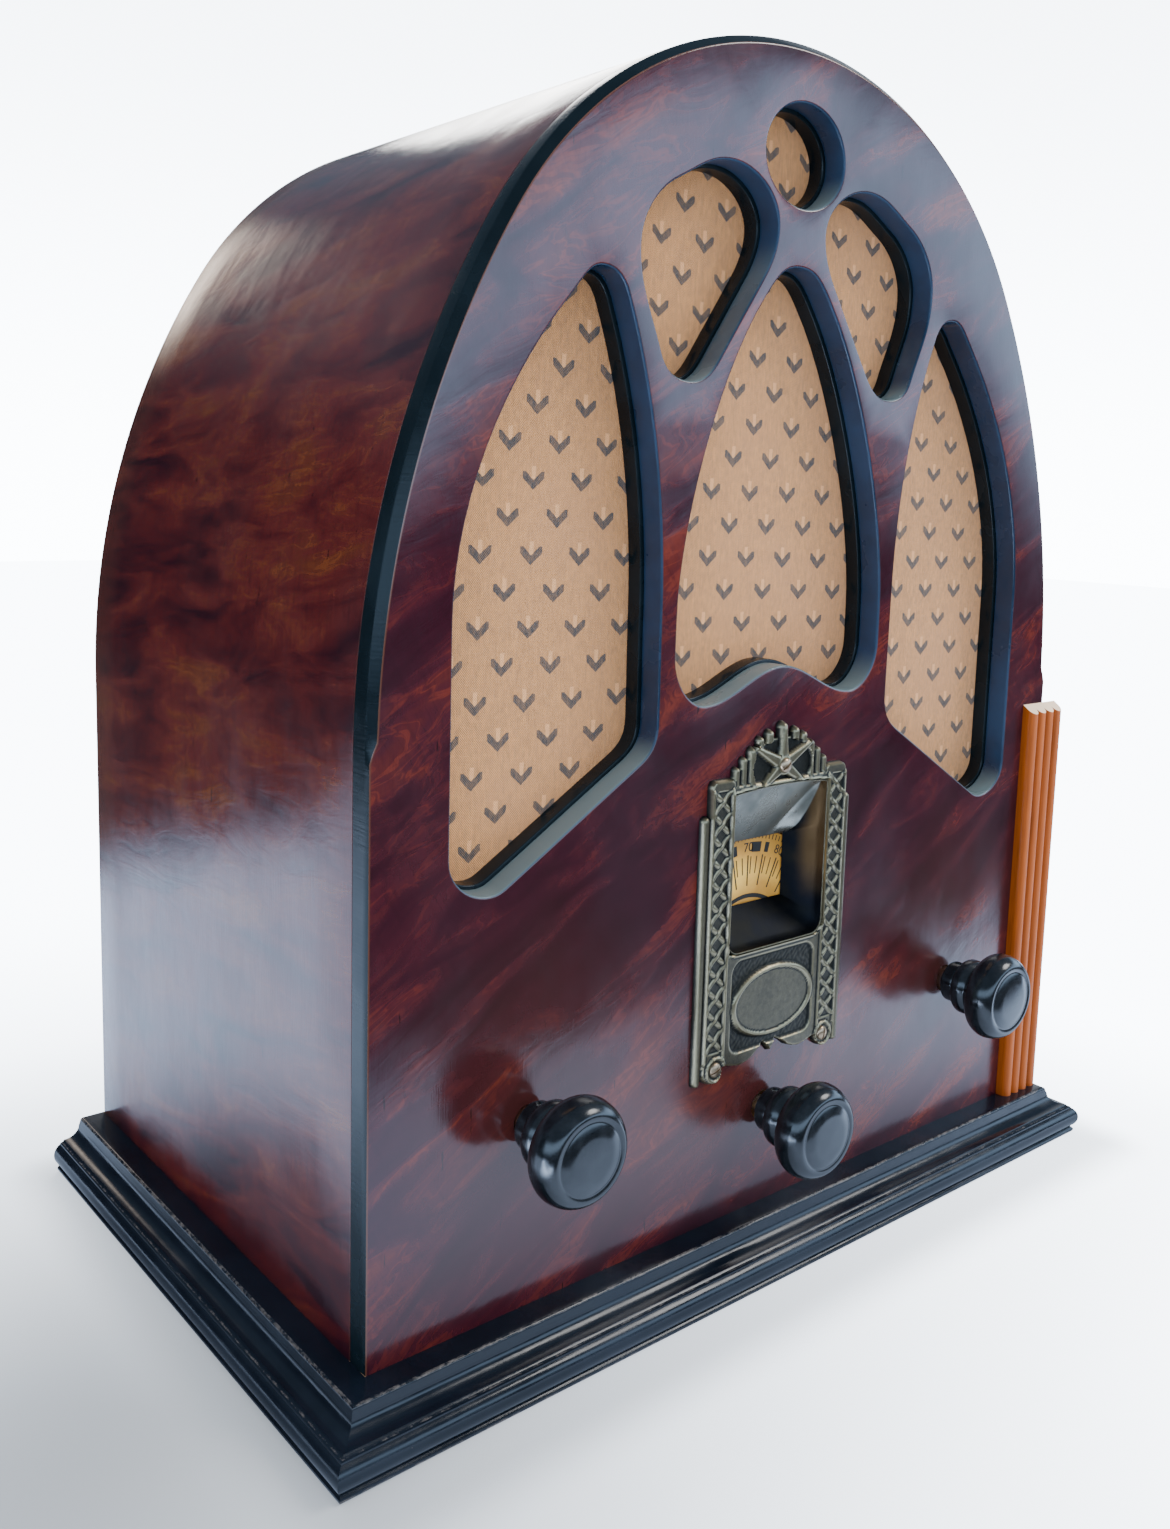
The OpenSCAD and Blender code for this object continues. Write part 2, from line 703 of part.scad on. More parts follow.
// Three-gang tuning condenser
gang_n = 3;
gang_l = fins * fin_pitch + 4;
frame_y = chassis_y + 10;
frame_t = 2;
frame_half = rotor_r + 6;
frame_top = dial_z + rotor_r + 6;
frame_l = gang_n * gang_l + (gang_n + 1) * frame_t;
function screen_y(i) = frame_y + i * (gang_l + frame_t);
function fin_y(g, i) = screen_y(g) + frame_t + 3 + i * fin_pitch;
axle_r = 5;
module condenser_frame() {
    color(steel) difference() {
        union() {
            block(-frame_half, frame_half, frame_y, frame_y + frame_l, chassis_h,
                chassis_h + frame_t);
            for (i = [0 : gang_n])
                block(-frame_half, frame_half, screen_y(i), screen_y(i) + frame_t, chassis_h,
                    frame_top);
            block(frame_half - frame_t, frame_half, frame_y, frame_y + frame_l, chassis_h,
                chassis_h + 12);
            block(-frame_half, -frame_half + frame_t, frame_y, frame_y + frame_l, chassis_h,
                chassis_h + 12);
        }
        for (i = [1 : gang_n - 1])
            bar_y(axle_r + 1.5, screen_y(i) - 1, screen_y(i) + frame_t + 1, 0, dial_z);
        for (i = [0, gang_n])
            bar_y(shaft_r + run_c, screen_y(i) - 1, screen_y(i) + frame_t + 1, 0, dial_z);
    }
}

rod_x = frame_half - 4;
rod_z = rotor_r - 2;
module condenser_stator() {
    color("#c4c6c4") for (g = [0 : gang_n - 1]) {
        for (s = [-1, 1])
            bar_y(2, screen_y(g) + frame_t, screen_y(g + 1), rod_x, dial_z + s * rod_z);
        for (i = [0 : fins])
            block(axle_r + 1.5, rod_x + 1, fin_y(g, i) - fin_pitch / 2 - fin_t / 2,
                fin_y(g, i) - fin_pitch / 2 + fin_t / 2, dial_z - rod_z - 1, dial_z + rod_z + 1);
    }
}

module condenser_rotor() {
    rear = frame_y + frame_l;
    color("#d3d5d2") {
        bar_y(shaft_r, shaft_front, rear + 2, 0, dial_z);
        for (g = [0 : gang_n - 1]) {
            bar_y(axle_r, screen_y(g) + frame_t + 1, screen_y(g + 1) - 1, 0, dial_z);
            for (i = [0 : fins - 1]) intersection() {
                bar_y(rotor_r, fin_y(g, i) - fin_t / 2, fin_y(g, i) + fin_t / 2, 0, dial_z);
                block(-rotor_r - 1, rotor_r + 1, fin_y(g, i) - fin_t, fin_y(g, i) + fin_t,
                    dial_z - 2, dial_z + rotor_r + 1);
            }
        }
    }
}

lamp_y = frame_y - 6;
lamp_top = frame_top - 1;
module lamp_holder() {
    color(brass) {
        block(-5, 5, lamp_y - 5, frame_y + frame_t, frame_top, frame_top + 1);
        difference() {
            at(0, lamp_y, frame_top - 7) cylinder(r = 4.6, h = 7);
            at(0, lamp_y, frame_top - 8) cylinder(r = 3.9, h = 7);
        }
    }
}

module dial_lamp() {
    color("#f3e3b0") at(0, lamp_y, frame_top - 18) {
        translate([0, 0, 8]) cylinder(r = 3.85, h = 9);
        translate([0, 0, 4.6]) sphere(r = 4.6, $fn = 32);
        cylinder_neck();
    }
}
module cylinder_neck() {
    translate([0, 0, 4.6]) cylinder(r = 3, h = 4);
}

// Volume and tone controls on the raised ends of the chassis apron
control_r = 15;
ear_top = control_z + control_r + 3;
module control(x) {
    back = chassis_y + steel_t;
    color(bakelite) turned_y(x, control_z, [
        [shaft_r + run_c, -1.6], [bush_r, -1.6], [bush_r, back], [control_r, back],
        [control_r, control_back], [0, control_back], [0, control_back - 2.6],
        [shaft_r + run_c, control_back - 2.6]]);
}
module volume_control() { control(-control_x); }
module tone_control() { control(control_x); }

module control_nuts() {
    color(steel) for (x = [-control_x, control_x]) difference() {
        at(x, chassis_y - 3, control_z) rotate([-90, 0, 0]) cylinder(r = 7.6, h = 3, $fn = 6);
        bar_y(bush_r, chassis_y - 4, chassis_y + 1, x, control_z);
    }
}

// Folded chassis with raised ends on its front apron
valve_at = [[60, 62], [60, 112], [103, 141], [-58, 60], [-106, 66]];
coil_at = [[103, 60], [103, 100]];
filter_at = [[-19, 146], [19, 146]];
foot_bolts = [for (s = [-1, 1]) for (y = [chassis_y + 48, chassis_y + chassis_d - 22])
    [s * (chassis_w / 2 + 6), y]];
core_x = -86;
core_y = 126;
socket_r = 15;
rear_y = chassis_y + chassis_d;
ch = chassis_w / 2;
module chassis() {
    color("#8d9092") difference() {
        union() {
            difference() {
                block(-ch, ch, chassis_y, rear_y, 0, chassis_h);
                block(-ch + steel_t, ch - steel_t, chassis_y + steel_t, rear_y - steel_t, -1,
                    chassis_h - steel_t);
            }
            for (s = [-1, 1])
                block(s * control_x - 17, s * control_x + 16, chassis_y, chassis_y + steel_t,
                    chassis_h - steel_t, ear_top);
            for (s = [-1, 1]) for (y = [chassis_y + 40, rear_y - 30])
                block(s > 0 ? ch - steel_t : -ch - 12, s > 0 ? ch + 12 : -ch + steel_t,
                    y, y + 16, 0, steel_t);
        }
        for (p = valve_at)
            at(p[0], p[1], chassis_h - 3) cylinder(r = socket_r - 2, h = 6);
        for (x = [-control_x, control_x])
            bar_y(bush_r + 0.05, chassis_y - 1, chassis_y + steel_t + 1, x, control_z);
        bar_y(bush_r + 0.05, chassis_y - 1, chassis_y + steel_t + 1, 0, tuning_z);
        bar_y(grommet_r, rear_y - steel_t - 1, rear_y + 1, grommet_x, 20);
        at(cable_x, cable_y, chassis_h - 3) cylinder(r = grommet_r, h = 6);
        for (p = foot_bolts) at(p[0], p[1], -1) cylinder(r = 2.3, h = 5);
        block(core_x - 24, core_x + 24, core_y - 20, core_y + 20, chassis_h - 3, chassis_h + 1);
    }
}

module chassis_bolts() {
    color(steel) for (p = foot_bolts) at(p[0], p[1], 0) {
        translate([0, 0, steel_t]) cylinder(r = 4.2, h = 2.6, $fn = 6);
        translate([0, 0, -9]) cylinder(r = 2.1, h = 9 + steel_t);
    }
}

// Mains transformer: laminated core, coil through its windows, steel covers
core_w = 76;
core_d = 30;
core_h = 62;
limb = 20;
module transformer_core() {
    color("#4b4d50") difference() {
        block(core_x - core_w / 2, core_x + core_w / 2, core_y - core_d / 2,
            core_y + core_d / 2, chassis_h, chassis_h + core_h);
        for (s = [-1, 1])
            block(core_x + s * 19 - 9, core_x + s * 19 + 9, core_y - core_d, core_y + core_d,
                chassis_h + 12, chassis_h + core_h - 12);
    }
}

module transformer_coil() {
    color("#a8783c") difference() {
        block(core_x - 27.6, core_x + 27.6, core_y - 27, core_y + 27, chassis_h + 12.4,
            chassis_h + core_h - 12.4);
        block(core_x - 10, core_x + 10, core_y - core_d / 2, core_y + core_d / 2,
            chassis_h + 10, chassis_h + core_h - 10);
    }
}

module transformer_covers() {
    color("#26282b") for (s = [0, 1]) at(core_x, core_y, chassis_h) mirror([0, s, 0])
        difference() {
            hull() {
                translate([-34, core_d / 2, 2]) cube([68, 1, core_h - 4]);
                translate([-30, core_d / 2, 6]) cube([60, 17, core_h - 12]);
            }
            translate([-28.4, core_d / 2 - 1, 7.5]) cube([56.8, 15.6, core_h - 15]);
        }
}

module filter_cans() {
    color("#c9ccce") for (p = filter_at) at(p[0], p[1], chassis_h) {
        cylinder(r = filter_r + 1, h = 3);
        cylinder(r = filter_r, h = filter_h);
        translate([0, 0, filter_h]) cylinder(r = 4, h = 3);
    }
}

socket_h = 4;
base_r = 16;
base_h = 26;
module valve_sockets() {
    color("#6b4526") for (p = valve_at) at(p[0], p[1], chassis_h) difference() {
        union() {
            cylinder(r = socket_r + 3, h = socket_h);
            translate([0, 0, -4]) cylinder(r = socket_r - 2.1, h = 4);
        }
        for (a = [36 : 72 : 324])
            rotate(a) translate([9, 0, -3]) cylinder(r = 1.7, h = socket_h + 4);
    }
}

module valve_bases() {
    color(bakelite) for (p = valve_at) at(p[0], p[1], chassis_h + socket_h) {
        difference() {
            cylinder(r = base_r, h = base_h);
            translate([0, 0, 3]) cylinder(r = base_r - 1.6, h = base_h);
        }
        for (a = [36 : 72 : 324])
            rotate(a) translate([9, 0, -6]) cylinder(r = 1.6, h = 6.5);
    }
}

// Bulb profile from the base up to a domed crown, as a thin shell
function bulb_profile(r, h) = concat(
    [[0, 0], [base_r - 1.7, 0]],
    [for (a = [0 : 15 : 90]) [base_r - 1.7 + (r - base_r + 1.7) * sin(a),
        base_h - 2.5 + 14 * (1 - cos(a))]],
    [for (a = [0 : 10 : 90]) [6 + (r - 6) * cos(a), h - 21 + 21 * sin(a)]],
    [[0, h]]);

glass_t = 0.9;
bulb_h = valve_h - 8;
module valve_glass() {
    color("#c8d4d8", 0.4) for (p = valve_at)
        at(p[0], p[1], chassis_h + socket_h + 3) rotate_extrude() difference() {
            polygon(bulb_profile(bulb_r - 1, bulb_h - 3));
            translate([0, glass_t]) polygon([for (q = bulb_profile(bulb_r - 1, bulb_h - 3))
                [max(0, q[0] - glass_t), max(0, q[1] - 2 * glass_t * q[1] / bulb_h)]]);
        }
}

module valve_electrodes() {
    color("#3a3d40") for (p = valve_at) at(p[0], p[1], chassis_h + socket_h + 3 + glass_t) {
        cylinder(r = 5, h = 26);
        translate([0, 0, 26]) cylinder(r = 9, h = 1);
        difference() {
            translate([0, 0, 27]) cylinder(r = 8.4, h = 26);
            translate([0, 0, 28]) cylinder(r = 7.8, h = 26);
        }
        translate([0, 0, 27]) cylinder(r = 2, h = 24);
    }
}

module valve_shields() {
    h = valve_h + 3;
    color("#b4b7ba") for (i = [0 : 2]) at(valve_at[i][0], valve_at[i][1], chassis_h + socket_h)
        difference() {
            union() {
                cylinder(r = shield_r, h = h);
                cylinder(r = shield_r + 1.2, h = 2);
                translate([0, 0, 34]) rotate_extrude() translate([shield_r, 0]) circle(0.8);
            }
            translate([0, 0, -1]) cylinder(r = shield_r - 0.7, h = h + 0.2);
            cylinder(r = 8, h = h + 2);
        }
}

module grid_caps() {
    color(brass) for (i = [0 : 2])
        at(valve_at[i][0], valve_at[i][1], chassis_h + socket_h + bulb_h) difference() {
            cylinder(r = 4.4, h = 10);
            translate([0, 0, -1]) cylinder(r = 3.6, h = 5);
        }
}

module coil_cans() {
    color("#c3c6c8") for (p = coil_at) at(p[0], p[1], chassis_h) {
        cylinder(r = coil_r + 1, h = 1.5);
        cylinder(r = coil_r, h = coil_h - 2);
        translate([0, 0, coil_h - 2]) cylinder(r1 = coil_r, r2 = coil_r - 2, h = 2);
    }
}

// Loudspeaker, axis along Y behind the baffle
sp_y = baffle_y + baffle_t;
flange_t = 1.6;
coil_form_r = 12;
cone_back = sp_y + 3 + cone_d;
pot_y = cone_back + 6;
surround_w = 8;
spoke_n = 6;
module speaker_basket() {
    color("#3c4043") difference() {
        turned_y(0, speaker_z, [
            [cone_r + surround_w, sp_y], [basket_r, sp_y], [basket_r, sp_y + flange_t],
            [bolt_ring - 4.2, sp_y + flange_t], [pot_r + 4, pot_y - 2],
            [pot_r + 4, pot_y], [coil_form_r + 4, pot_y], [coil_form_r + 4, pot_y - 2],
            [pot_r + 2, pot_y - 2], [cone_r + surround_w + 2.4, sp_y + flange_t + 1.5],
            [cone_r + surround_w, sp_y + flange_t + 1.5]]);
        for (i = [0 : spoke_n - 1]) at(0, sp_y + 12, speaker_z)
            rotate([0, 30 + i * 360 / spoke_n, 0]) translate([30, 0, -17])
                cube([60, pot_y - sp_y - 17, 34]);
        for (a = speaker_bolt_angles)
            bar_y(2.1, sp_y - 1, sp_y + flange_t + 1,
                bolt_ring * cos(a), speaker_z + bolt_ring * sin(a));
    }
}

paper_t = 0.9;
module speaker_cone() {
    lip = sp_y + 3;
    color("#4a4036") turned_y(0, speaker_z, [
        [cone_r, lip], [cone_r, lip + paper_t], [cone_r - 1.6, lip + paper_t + 0.4],
        [coil_form_r + paper_t, cone_back], [coil_form_r - 0.3, cone_back],
        [coil_form_r - 0.3, cone_back - 1.4], [cone_r - 2.6, lip + 0.6], [cone_r - 2, lip]]);
}

module speaker_surround() {
    inner = cone_r + cone_c;
    outer = cone_r + surround_w;
    step = (outer - inner) / 16;
    y0 = sp_y + 3.4;
    color("#2b2a2c") turned_y(0, speaker_z, concat(
        [for (i = [0 : 16]) [inner + i * step, y0 + 0.9 * sin(i * 45)]],
        [for (i = [16 : -1 : 0]) [inner + i * step, y0 + 0.7 + 0.9 * sin(i * 45)]]));
    color("#2b2a2c") difference() {
        bar_y(outer + 1.4, sp_y + flange_t + 1.5, y0 + 0.7, 0, speaker_z);
        bar_y(outer - 0.2, sp_y, y0 + 2, 0, speaker_z);
    }
}

// Corrugated disc that centres the voice coil
module cone_spider() {
    inner = coil_form_r + 1.2;
    y0 = pot_y - 5;
    step = (29 - inner) / 12;
    color("#7a5b34") turned_y(0, speaker_z, concat(
        [for (i = [0 : 12]) [inner + i * step, y0 + 0.6 * sin(i * 60)]],
        [[33, y0], [33, pot_y - 2], [29.4, pot_y - 2], [29.4, y0 + 0.6]],
        [for (i = [12 : -1 : 0]) [inner + i * step, y0 + 0.6 + 0.6 * sin(i * 60)]]));
}

module voice_coil() {
    color("#b87333") difference() {
        bar_y(coil_form_r, cone_back, pot_y + 12, 0, speaker_z);
        bar_y(coil_form_r - 0.8, cone_back - 3, pot_y + 13, 0, speaker_z);
    }
}

module field_pot() {
    color("#2e3236") {
        turned_y(0, speaker_z, [
            [coil_form_r + 1, pot_y], [pot_r, pot_y], [pot_r, pot_y + pot_l], [0, pot_y + pot_l],
            [0, pot_y], [coil_form_r - 1.8, pot_y], [coil_form_r - 1.8, pot_y + pot_l - 5],
            [pot_r - 4, pot_y + pot_l - 5], [pot_r - 4, pot_y + 5], [coil_form_r + 1, pot_y + 5]]);
    }
}

module field_coil() {
    color("#8f3b22") difference() {
        bar_y(pot_r - 4, pot_y + 14, pot_y + pot_l - 5, 0, speaker_z);
        bar_y(coil_form_r - 1.8, pot_y + 13, pot_y + pot_l, 0, speaker_z);
    }
}

ot_w = 44;
ot_d = 30;
ot_h = 34;
ot_z = speaker_z + pot_r + 1.5;
ot_y = pot_y + pot_l / 2 - ot_d / 2;
module output_transformer() {
    color("#4b4d50") {
        intersection() {
            block(-ot_w / 2, ot_w / 2, ot_y, ot_y + ot_d, ot_z - 14, ot_z);
            difference() {
                block(-ot_w, ot_w, ot_y - 1, ot_y + ot_d + 1, ot_z - 20, ot_z + 1);
                bar_y(pot_r, ot_y - 2, ot_y + ot_d + 2, 0, speaker_z);
            }
        }
        difference() {
            block(-ot_w / 2, ot_w / 2, ot_y + 7, ot_y + ot_d - 7, ot_z, ot_z + ot_h);
            for (s = [-1, 1]) block(s * 10.5 - 4.5, s * 10.5 + 4.5, ot_y - 1, ot_y + ot_d + 1,
                ot_z + 8, ot_z + ot_h - 8);
        }
        difference() {
            block(-15, 15, ot_y + 1, ot_y + ot_d - 1, ot_z + 8, ot_z + ot_h - 8);
            block(-6, 6, ot_y + 7, ot_y + ot_d - 7, ot_z + 7, ot_z + ot_h - 7);
        }
    }
}

module speaker_bolts() {
    color(steel) for (a = speaker_bolt_angles)
        at(bolt_ring * cos(a), sp_y + flange_t, speaker_z + bolt_ring * sin(a))
            rotate([-90, 0, 0]) {
                cylinder(r = 3.6, h = 2.2, $fn = 6);
                translate([0, 0, -7]) cylinder(r = 1.85, h = 7);
            }
}

// Loudspeaker cable held at both ends: chassis clip to output transformer
cable_r = 2.5;
cable_x = -40;
cable_y = 122;
// Route as x, depth and height above the plinth
cable_route = [[cable_x, cable_y, 34], [cable_x, cable_y, 42], [cable_x, cable_y, 50],
    [-41, 122, 64], [-43, 122, 84], [-46, 121, 110], [-48, 119, 140], [-49, 116, 170],
    [-49, 112, 200], [-49, 108, 230], [-48, 104, 258], [-46, 101, 282], [-43, 99.5, 300],
    [-38, 98.8, 312], [-30, 98.8, 318], [-ot_w / 2, 98.8, 318]];
module speaker_cable() {
    color("#5b4a36") tube([for (p = cable_route) [p[0], front_y + p[1], plinth_h + p[2]]],
        cable_r, 8);
}

function smooth(p, n) = [
    for (i = [0 : len(p) - 2]) let (a = p[max(i - 1, 0)], b = p[i], c = p[i + 1],
        d = p[min(i + 2, len(p) - 1)]) for (k = [0 : n - 1]) let (t = k / n)
        0.5 * (2 * b + (c - a) * t + (2 * a - 5 * b + 4 * c - d) * t * t
            + (3 * b - a - 3 * c + d) * t * t * t),
    p[len(p) - 1]];

module tube(route, r, sides) {
    path = smooth(route, 2);
    n = len(path);
    rings = [for (i = [0 : n - 1])
        let (t = path[min(i + 1, n - 1)] - path[max(i - 1, 0)], f = t / norm(t),
            s = cross(f, [0, 1, 0]), u = s / norm(s), v = cross(f, u))
        for (k = [0 : sides - 1])
            path[i] + r * (cos(360 * k / sides) * u + sin(360 * k / sides) * v)];
    faces = concat([[for (k = [sides - 1 : -1 : 0]) k]],
        [for (i = [0 : n - 2]) for (k = [0 : sides - 1])
            [i * sides + k, i * sides + (k + 1) % sides,
                (i + 1) * sides + (k + 1) % sides, (i + 1) * sides + k]],
        [[for (k = [0 : sides - 1]) (n - 1) * sides + k]]);
    polyhedron(rings, faces, convexity = 6);
}

strip_x = 60;
module terminal_strip() {
    color("#6b4526") block(strip_x - 20, strip_x + 20, rear_y, rear_y + 3, 14, 30);
    color(brass) for (i = [-1, 1])
        bar_y(3, rear_y + 3, rear_y + 9, strip_x + 12 * i, 22);
}

// Rubber grommets where the mains lead and the loudspeaker cable leave the chassis
grommet_r = 5;
grommet_x = -70;
function grommet_profile(bore) = [[bore, -2], [7, -2], [7, 0], [grommet_r, 0],
    [grommet_r, steel_t], [7, steel_t], [7, steel_t + 2], [bore, steel_t + 2]];
module grommets() {
    color("#1d1d1f") {
        at(grommet_x, rear_y - steel_t, 20) rotate([-90, 0, 0]) rotate_extrude()
            polygon(grommet_profile(3.2));
        at(cable_x, cable_y, chassis_h - steel_t) rotate_extrude()
            polygon(grommet_profile(cable_r + 0.1));
    }
}

base_board();
plinth_front();
plinth_left();
plinth_right();
cabinet_wrap();
rear_rib();
glue_blocks();
front_panel();
grille_board();
grille_cloth();
speaker_board();
pilaster();
dial_plate();
dial_plate_screws();
volume_knob();
tuning_knob();
tone_knob();
volume_set_screw();
tuning_set_screw();
tone_set_screw();
volume_shaft();
tuning_shaft();
tone_shaft();
tuning_bush();
dial_scale();
dial_hub();
condenser_frame();
condenser_stator();
condenser_rotor();
dial_lamp();
lamp_holder();
volume_control();
tone_control();
control_nuts();
chassis();
chassis_bolts();
transformer_core();
transformer_coil();
transformer_covers();
filter_cans();
valve_sockets();
valve_bases();
valve_glass();
valve_electrodes();
valve_shields();
grid_caps();
coil_cans();
speaker_basket();
speaker_cone();
speaker_surround();
cone_spider();
voice_coil();
field_pot();
field_coil();
output_transformer();
speaker_bolts();
speaker_cable();
terminal_strip();
grommets();
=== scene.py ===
"""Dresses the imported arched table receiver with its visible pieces, finishes and stage."""

import json
import math

import bmesh
import bpy
import numpy as np
from bpy.props import FloatProperty, FloatVectorProperty, IntProperty, PointerProperty
from mathutils import Matrix, Vector
from mathutils.geometry import delaunay_2d_cdt

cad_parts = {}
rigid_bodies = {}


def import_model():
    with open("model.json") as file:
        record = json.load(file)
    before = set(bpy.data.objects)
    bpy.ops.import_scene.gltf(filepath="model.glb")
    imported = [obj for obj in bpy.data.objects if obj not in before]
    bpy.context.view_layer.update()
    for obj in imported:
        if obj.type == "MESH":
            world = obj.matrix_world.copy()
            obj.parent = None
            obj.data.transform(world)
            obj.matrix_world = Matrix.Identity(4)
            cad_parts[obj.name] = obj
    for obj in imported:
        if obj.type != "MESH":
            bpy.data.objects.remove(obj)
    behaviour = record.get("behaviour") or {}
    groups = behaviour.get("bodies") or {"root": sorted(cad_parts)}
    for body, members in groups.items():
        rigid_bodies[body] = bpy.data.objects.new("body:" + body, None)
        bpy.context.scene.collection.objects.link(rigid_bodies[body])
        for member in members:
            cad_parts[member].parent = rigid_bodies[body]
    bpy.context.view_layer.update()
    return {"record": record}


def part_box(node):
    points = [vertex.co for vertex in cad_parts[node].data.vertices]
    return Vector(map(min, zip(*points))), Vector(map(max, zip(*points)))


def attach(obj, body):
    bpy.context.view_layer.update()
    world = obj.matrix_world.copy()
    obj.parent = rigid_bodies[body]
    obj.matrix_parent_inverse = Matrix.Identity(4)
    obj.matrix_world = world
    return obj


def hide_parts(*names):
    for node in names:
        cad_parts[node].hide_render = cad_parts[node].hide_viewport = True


bl_info = {
    "name": "Arched Table Receiver",
    "version": (1, 0, 0),
    "blender": (4, 5, 0),
    "location": "3D View > Sidebar > Receiver",
    "description": "Builds the visible pieces and finishes of an arched table radio receiver",
    "category": "Add Mesh",
}

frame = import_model()

# Places in millimetres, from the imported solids: x from the centre, depth y behind the front
# face and height z above the plinth.
FRONT_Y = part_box("front_panel")[0][1] * 1000
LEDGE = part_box("plinth_front")[1][2] * 1000
HALF_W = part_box("cabinet_wrap")[1][0] * 1000
CASE_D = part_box("cabinet_wrap")[1][1] * 1000 - FRONT_Y
ARCH_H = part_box("cabinet_wrap")[1][2] * 1000 - LEDGE
PLINTH_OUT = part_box("plinth_right")[1][0] * 1000 - HALF_W
SPRING_H = 184.0
TOP_R = 144.0
SIDE_R = 300.0
PANEL_T = 9.0
WRAP_T = 8.0
BEVEL = 2.6
GRILLE_T = 6.0
CLOTH_Y = PANEL_T + GRILLE_T
CLOTH_T = 0.8
GRILLE_Z = 122.0
NOTCH = 54.0
NOTCH_TOP = 167.0
DIAL_Z = 92.0
DIAL_HOLE = [(-26, 98.8), (26, 98.8), (26, 160.8), (-26, 160.8)]
CONTROLS = {"volume": (-109, 63), "tone": (109, 63), "tuning": (0, 37.8)}
BUSH_R = 5.6


def place(x, y, z):
    """The point at x, depth y and height z, in metres of the shared frame."""
    return Vector((x, FRONT_Y + y, LEDGE + z)) / 1000


def blended(t):
    """0 to 1 with level ends, for t from 0 to 1."""
    t = min(1.0, max(0.0, t))
    return t * t * (3 - 2 * t)


# Outlines


def bezier(a, b, c, d, t):
    """The point at t on a cubic curve from a to d."""
    s = 1 - t
    return tuple(
        a[k] * s**3 + 3 * b[k] * t * s * s + 3 * c[k] * t * t * s + d[k] * t**3 for k in (0, 1)
    )


def curved(nodes, steps=14):
    """Closed curve through nodes of x, z, heading, handle in and handle out."""
    points = []
    for i, (x, z, turn, _, out) in enumerate(nodes):
        x2, z2, turn2, back, _ = nodes[(i + 1) % len(nodes)]
        a1, a2 = math.radians(turn), math.radians(turn2)
        b = (x + out * math.cos(a1), z + out * math.sin(a1))
        c = (x2 - back * math.cos(a2), z2 - back * math.sin(a2))
        points += [bezier((x, z), b, c, (x2, z2), k / steps) for k in range(steps)]
    return points


def grown(points, e):
    """A counter-clockwise outline moved outward by e."""
    moved = []
    for i, (x, z) in enumerate(points):
        ax, az = points[i - 1]
        bx, bz = points[(i + 1) % len(points)]
        length = math.hypot(bx - ax, bz - az) or 1.0
        moved.append((x + e * (bz - az) / length, z - e * (bx - ax) / length))
    return moved


def mirrored(points):
    """An outline on the other side of the middle, turning the same way."""
    return [(-x, z) for x, z in reversed(points)]


def ring(cx, cz, r, n=48):
    """n points round a circle."""
    return [
        (cx + r * math.cos(math.tau * k / n), cz + r * math.sin(math.tau * k / n))
        for k in range(n)
    ]


def window_outlines():
    """The six grille windows of the front board."""
    s, h, mid = SPRING_H, ARCH_H, 51.8
    out, inn = HALF_W - 27.5, mid + 7.2
    side = curved([
        (out, s - 32, 90, 10, 25), (out, s + 38, 90, 20, 34), (out - 41, h - 91, 132, 38, 6),
        (out - 52.5, h - 82, 180, 5, 5), (inn + 18, h - 90, 248, 6, 32),
        (inn + 0.3, s + 38, 270, 36, 12), (inn, s + 2, 270, 12, 7),
        (inn + 8.5, s - 11.5, 329, 6, 20), (out - 20, s - 43.5, 329, 20, 8),
    ])  # fmt: skip
    leaf = curved([
        (72.5, h - 72, 94, 13, 8), (58, h - 52, 153, 9, 10), (34, h - 43, 180, 10, 10),
        (12, h - 60, 268, 10, 6), (18, h - 77, 304, 6, 14), (37, h - 105, 304, 14, 6),
        (50, h - 113.5, 0, 6, 6), (63, h - 105, 70, 7, 12),
    ])  # fmt: skip
    right = [
        (0, s + 17.5, 0, 13, 13), (mid - 14.5, s + 6, 0, 13, 7), (mid, s + 23, 90, 9, 6),
        (mid, s + 36, 90, 6, 30), (16, h - 83, 128, 34, 8),
    ]  # fmt: skip
    left = [(-x, z, 360 - turn, out_, in_) for x, z, turn, in_, out_ in reversed(right[1:])]
    middle = curved(right + [(0, h - 72.5, 180, 8, 8)] + left)
    oval = [
        (19.5 * math.cos(math.tau * k / 72), h - 36 + 17 * math.sin(math.tau * k / 72))
        for k in range(72)
    ]
    return [side, mirrored(side), leaf, mirrored(leaf), middle, oval]


def arch_line():
    """Points of the arched outline from bottom left to bottom right, as x, z and normal."""
    step = 3.0
    sx = SIDE_R - HALF_W
    rise = math.sqrt((SIDE_R - TOP_R) ** 2 - sx * sx)
    meet = math.atan2(rise, sx)
    heights = [0, 20, 50, 80, 110, 140, 160, SPRING_H - 12]
    heights += [SPRING_H - 12 + k for k in range(2, 12, 2)]
    line = [(-HALF_W, z, -1.0, 0.0) for z in heights]
    count, rest = int(SIDE_R * meet / step), math.pi / 2 - meet
    top = int(TOP_R * rest / step)
    arcs = [(meet * k / count, SIDE_R, sx, 0.0) for k in range(count)]
    arcs += [(meet + rest * k / top, TOP_R, 0.0, rise) for k in range(top + 1)]
    for a, r, x, z in arcs:
        c, s = math.cos(a), math.sin(a)
        line.append((x - r * c, SPRING_H + z + r * s, -c, s))
    return line + [(-x, z, -nx, nz) for x, z, nx, nz in reversed(line[:-1])]


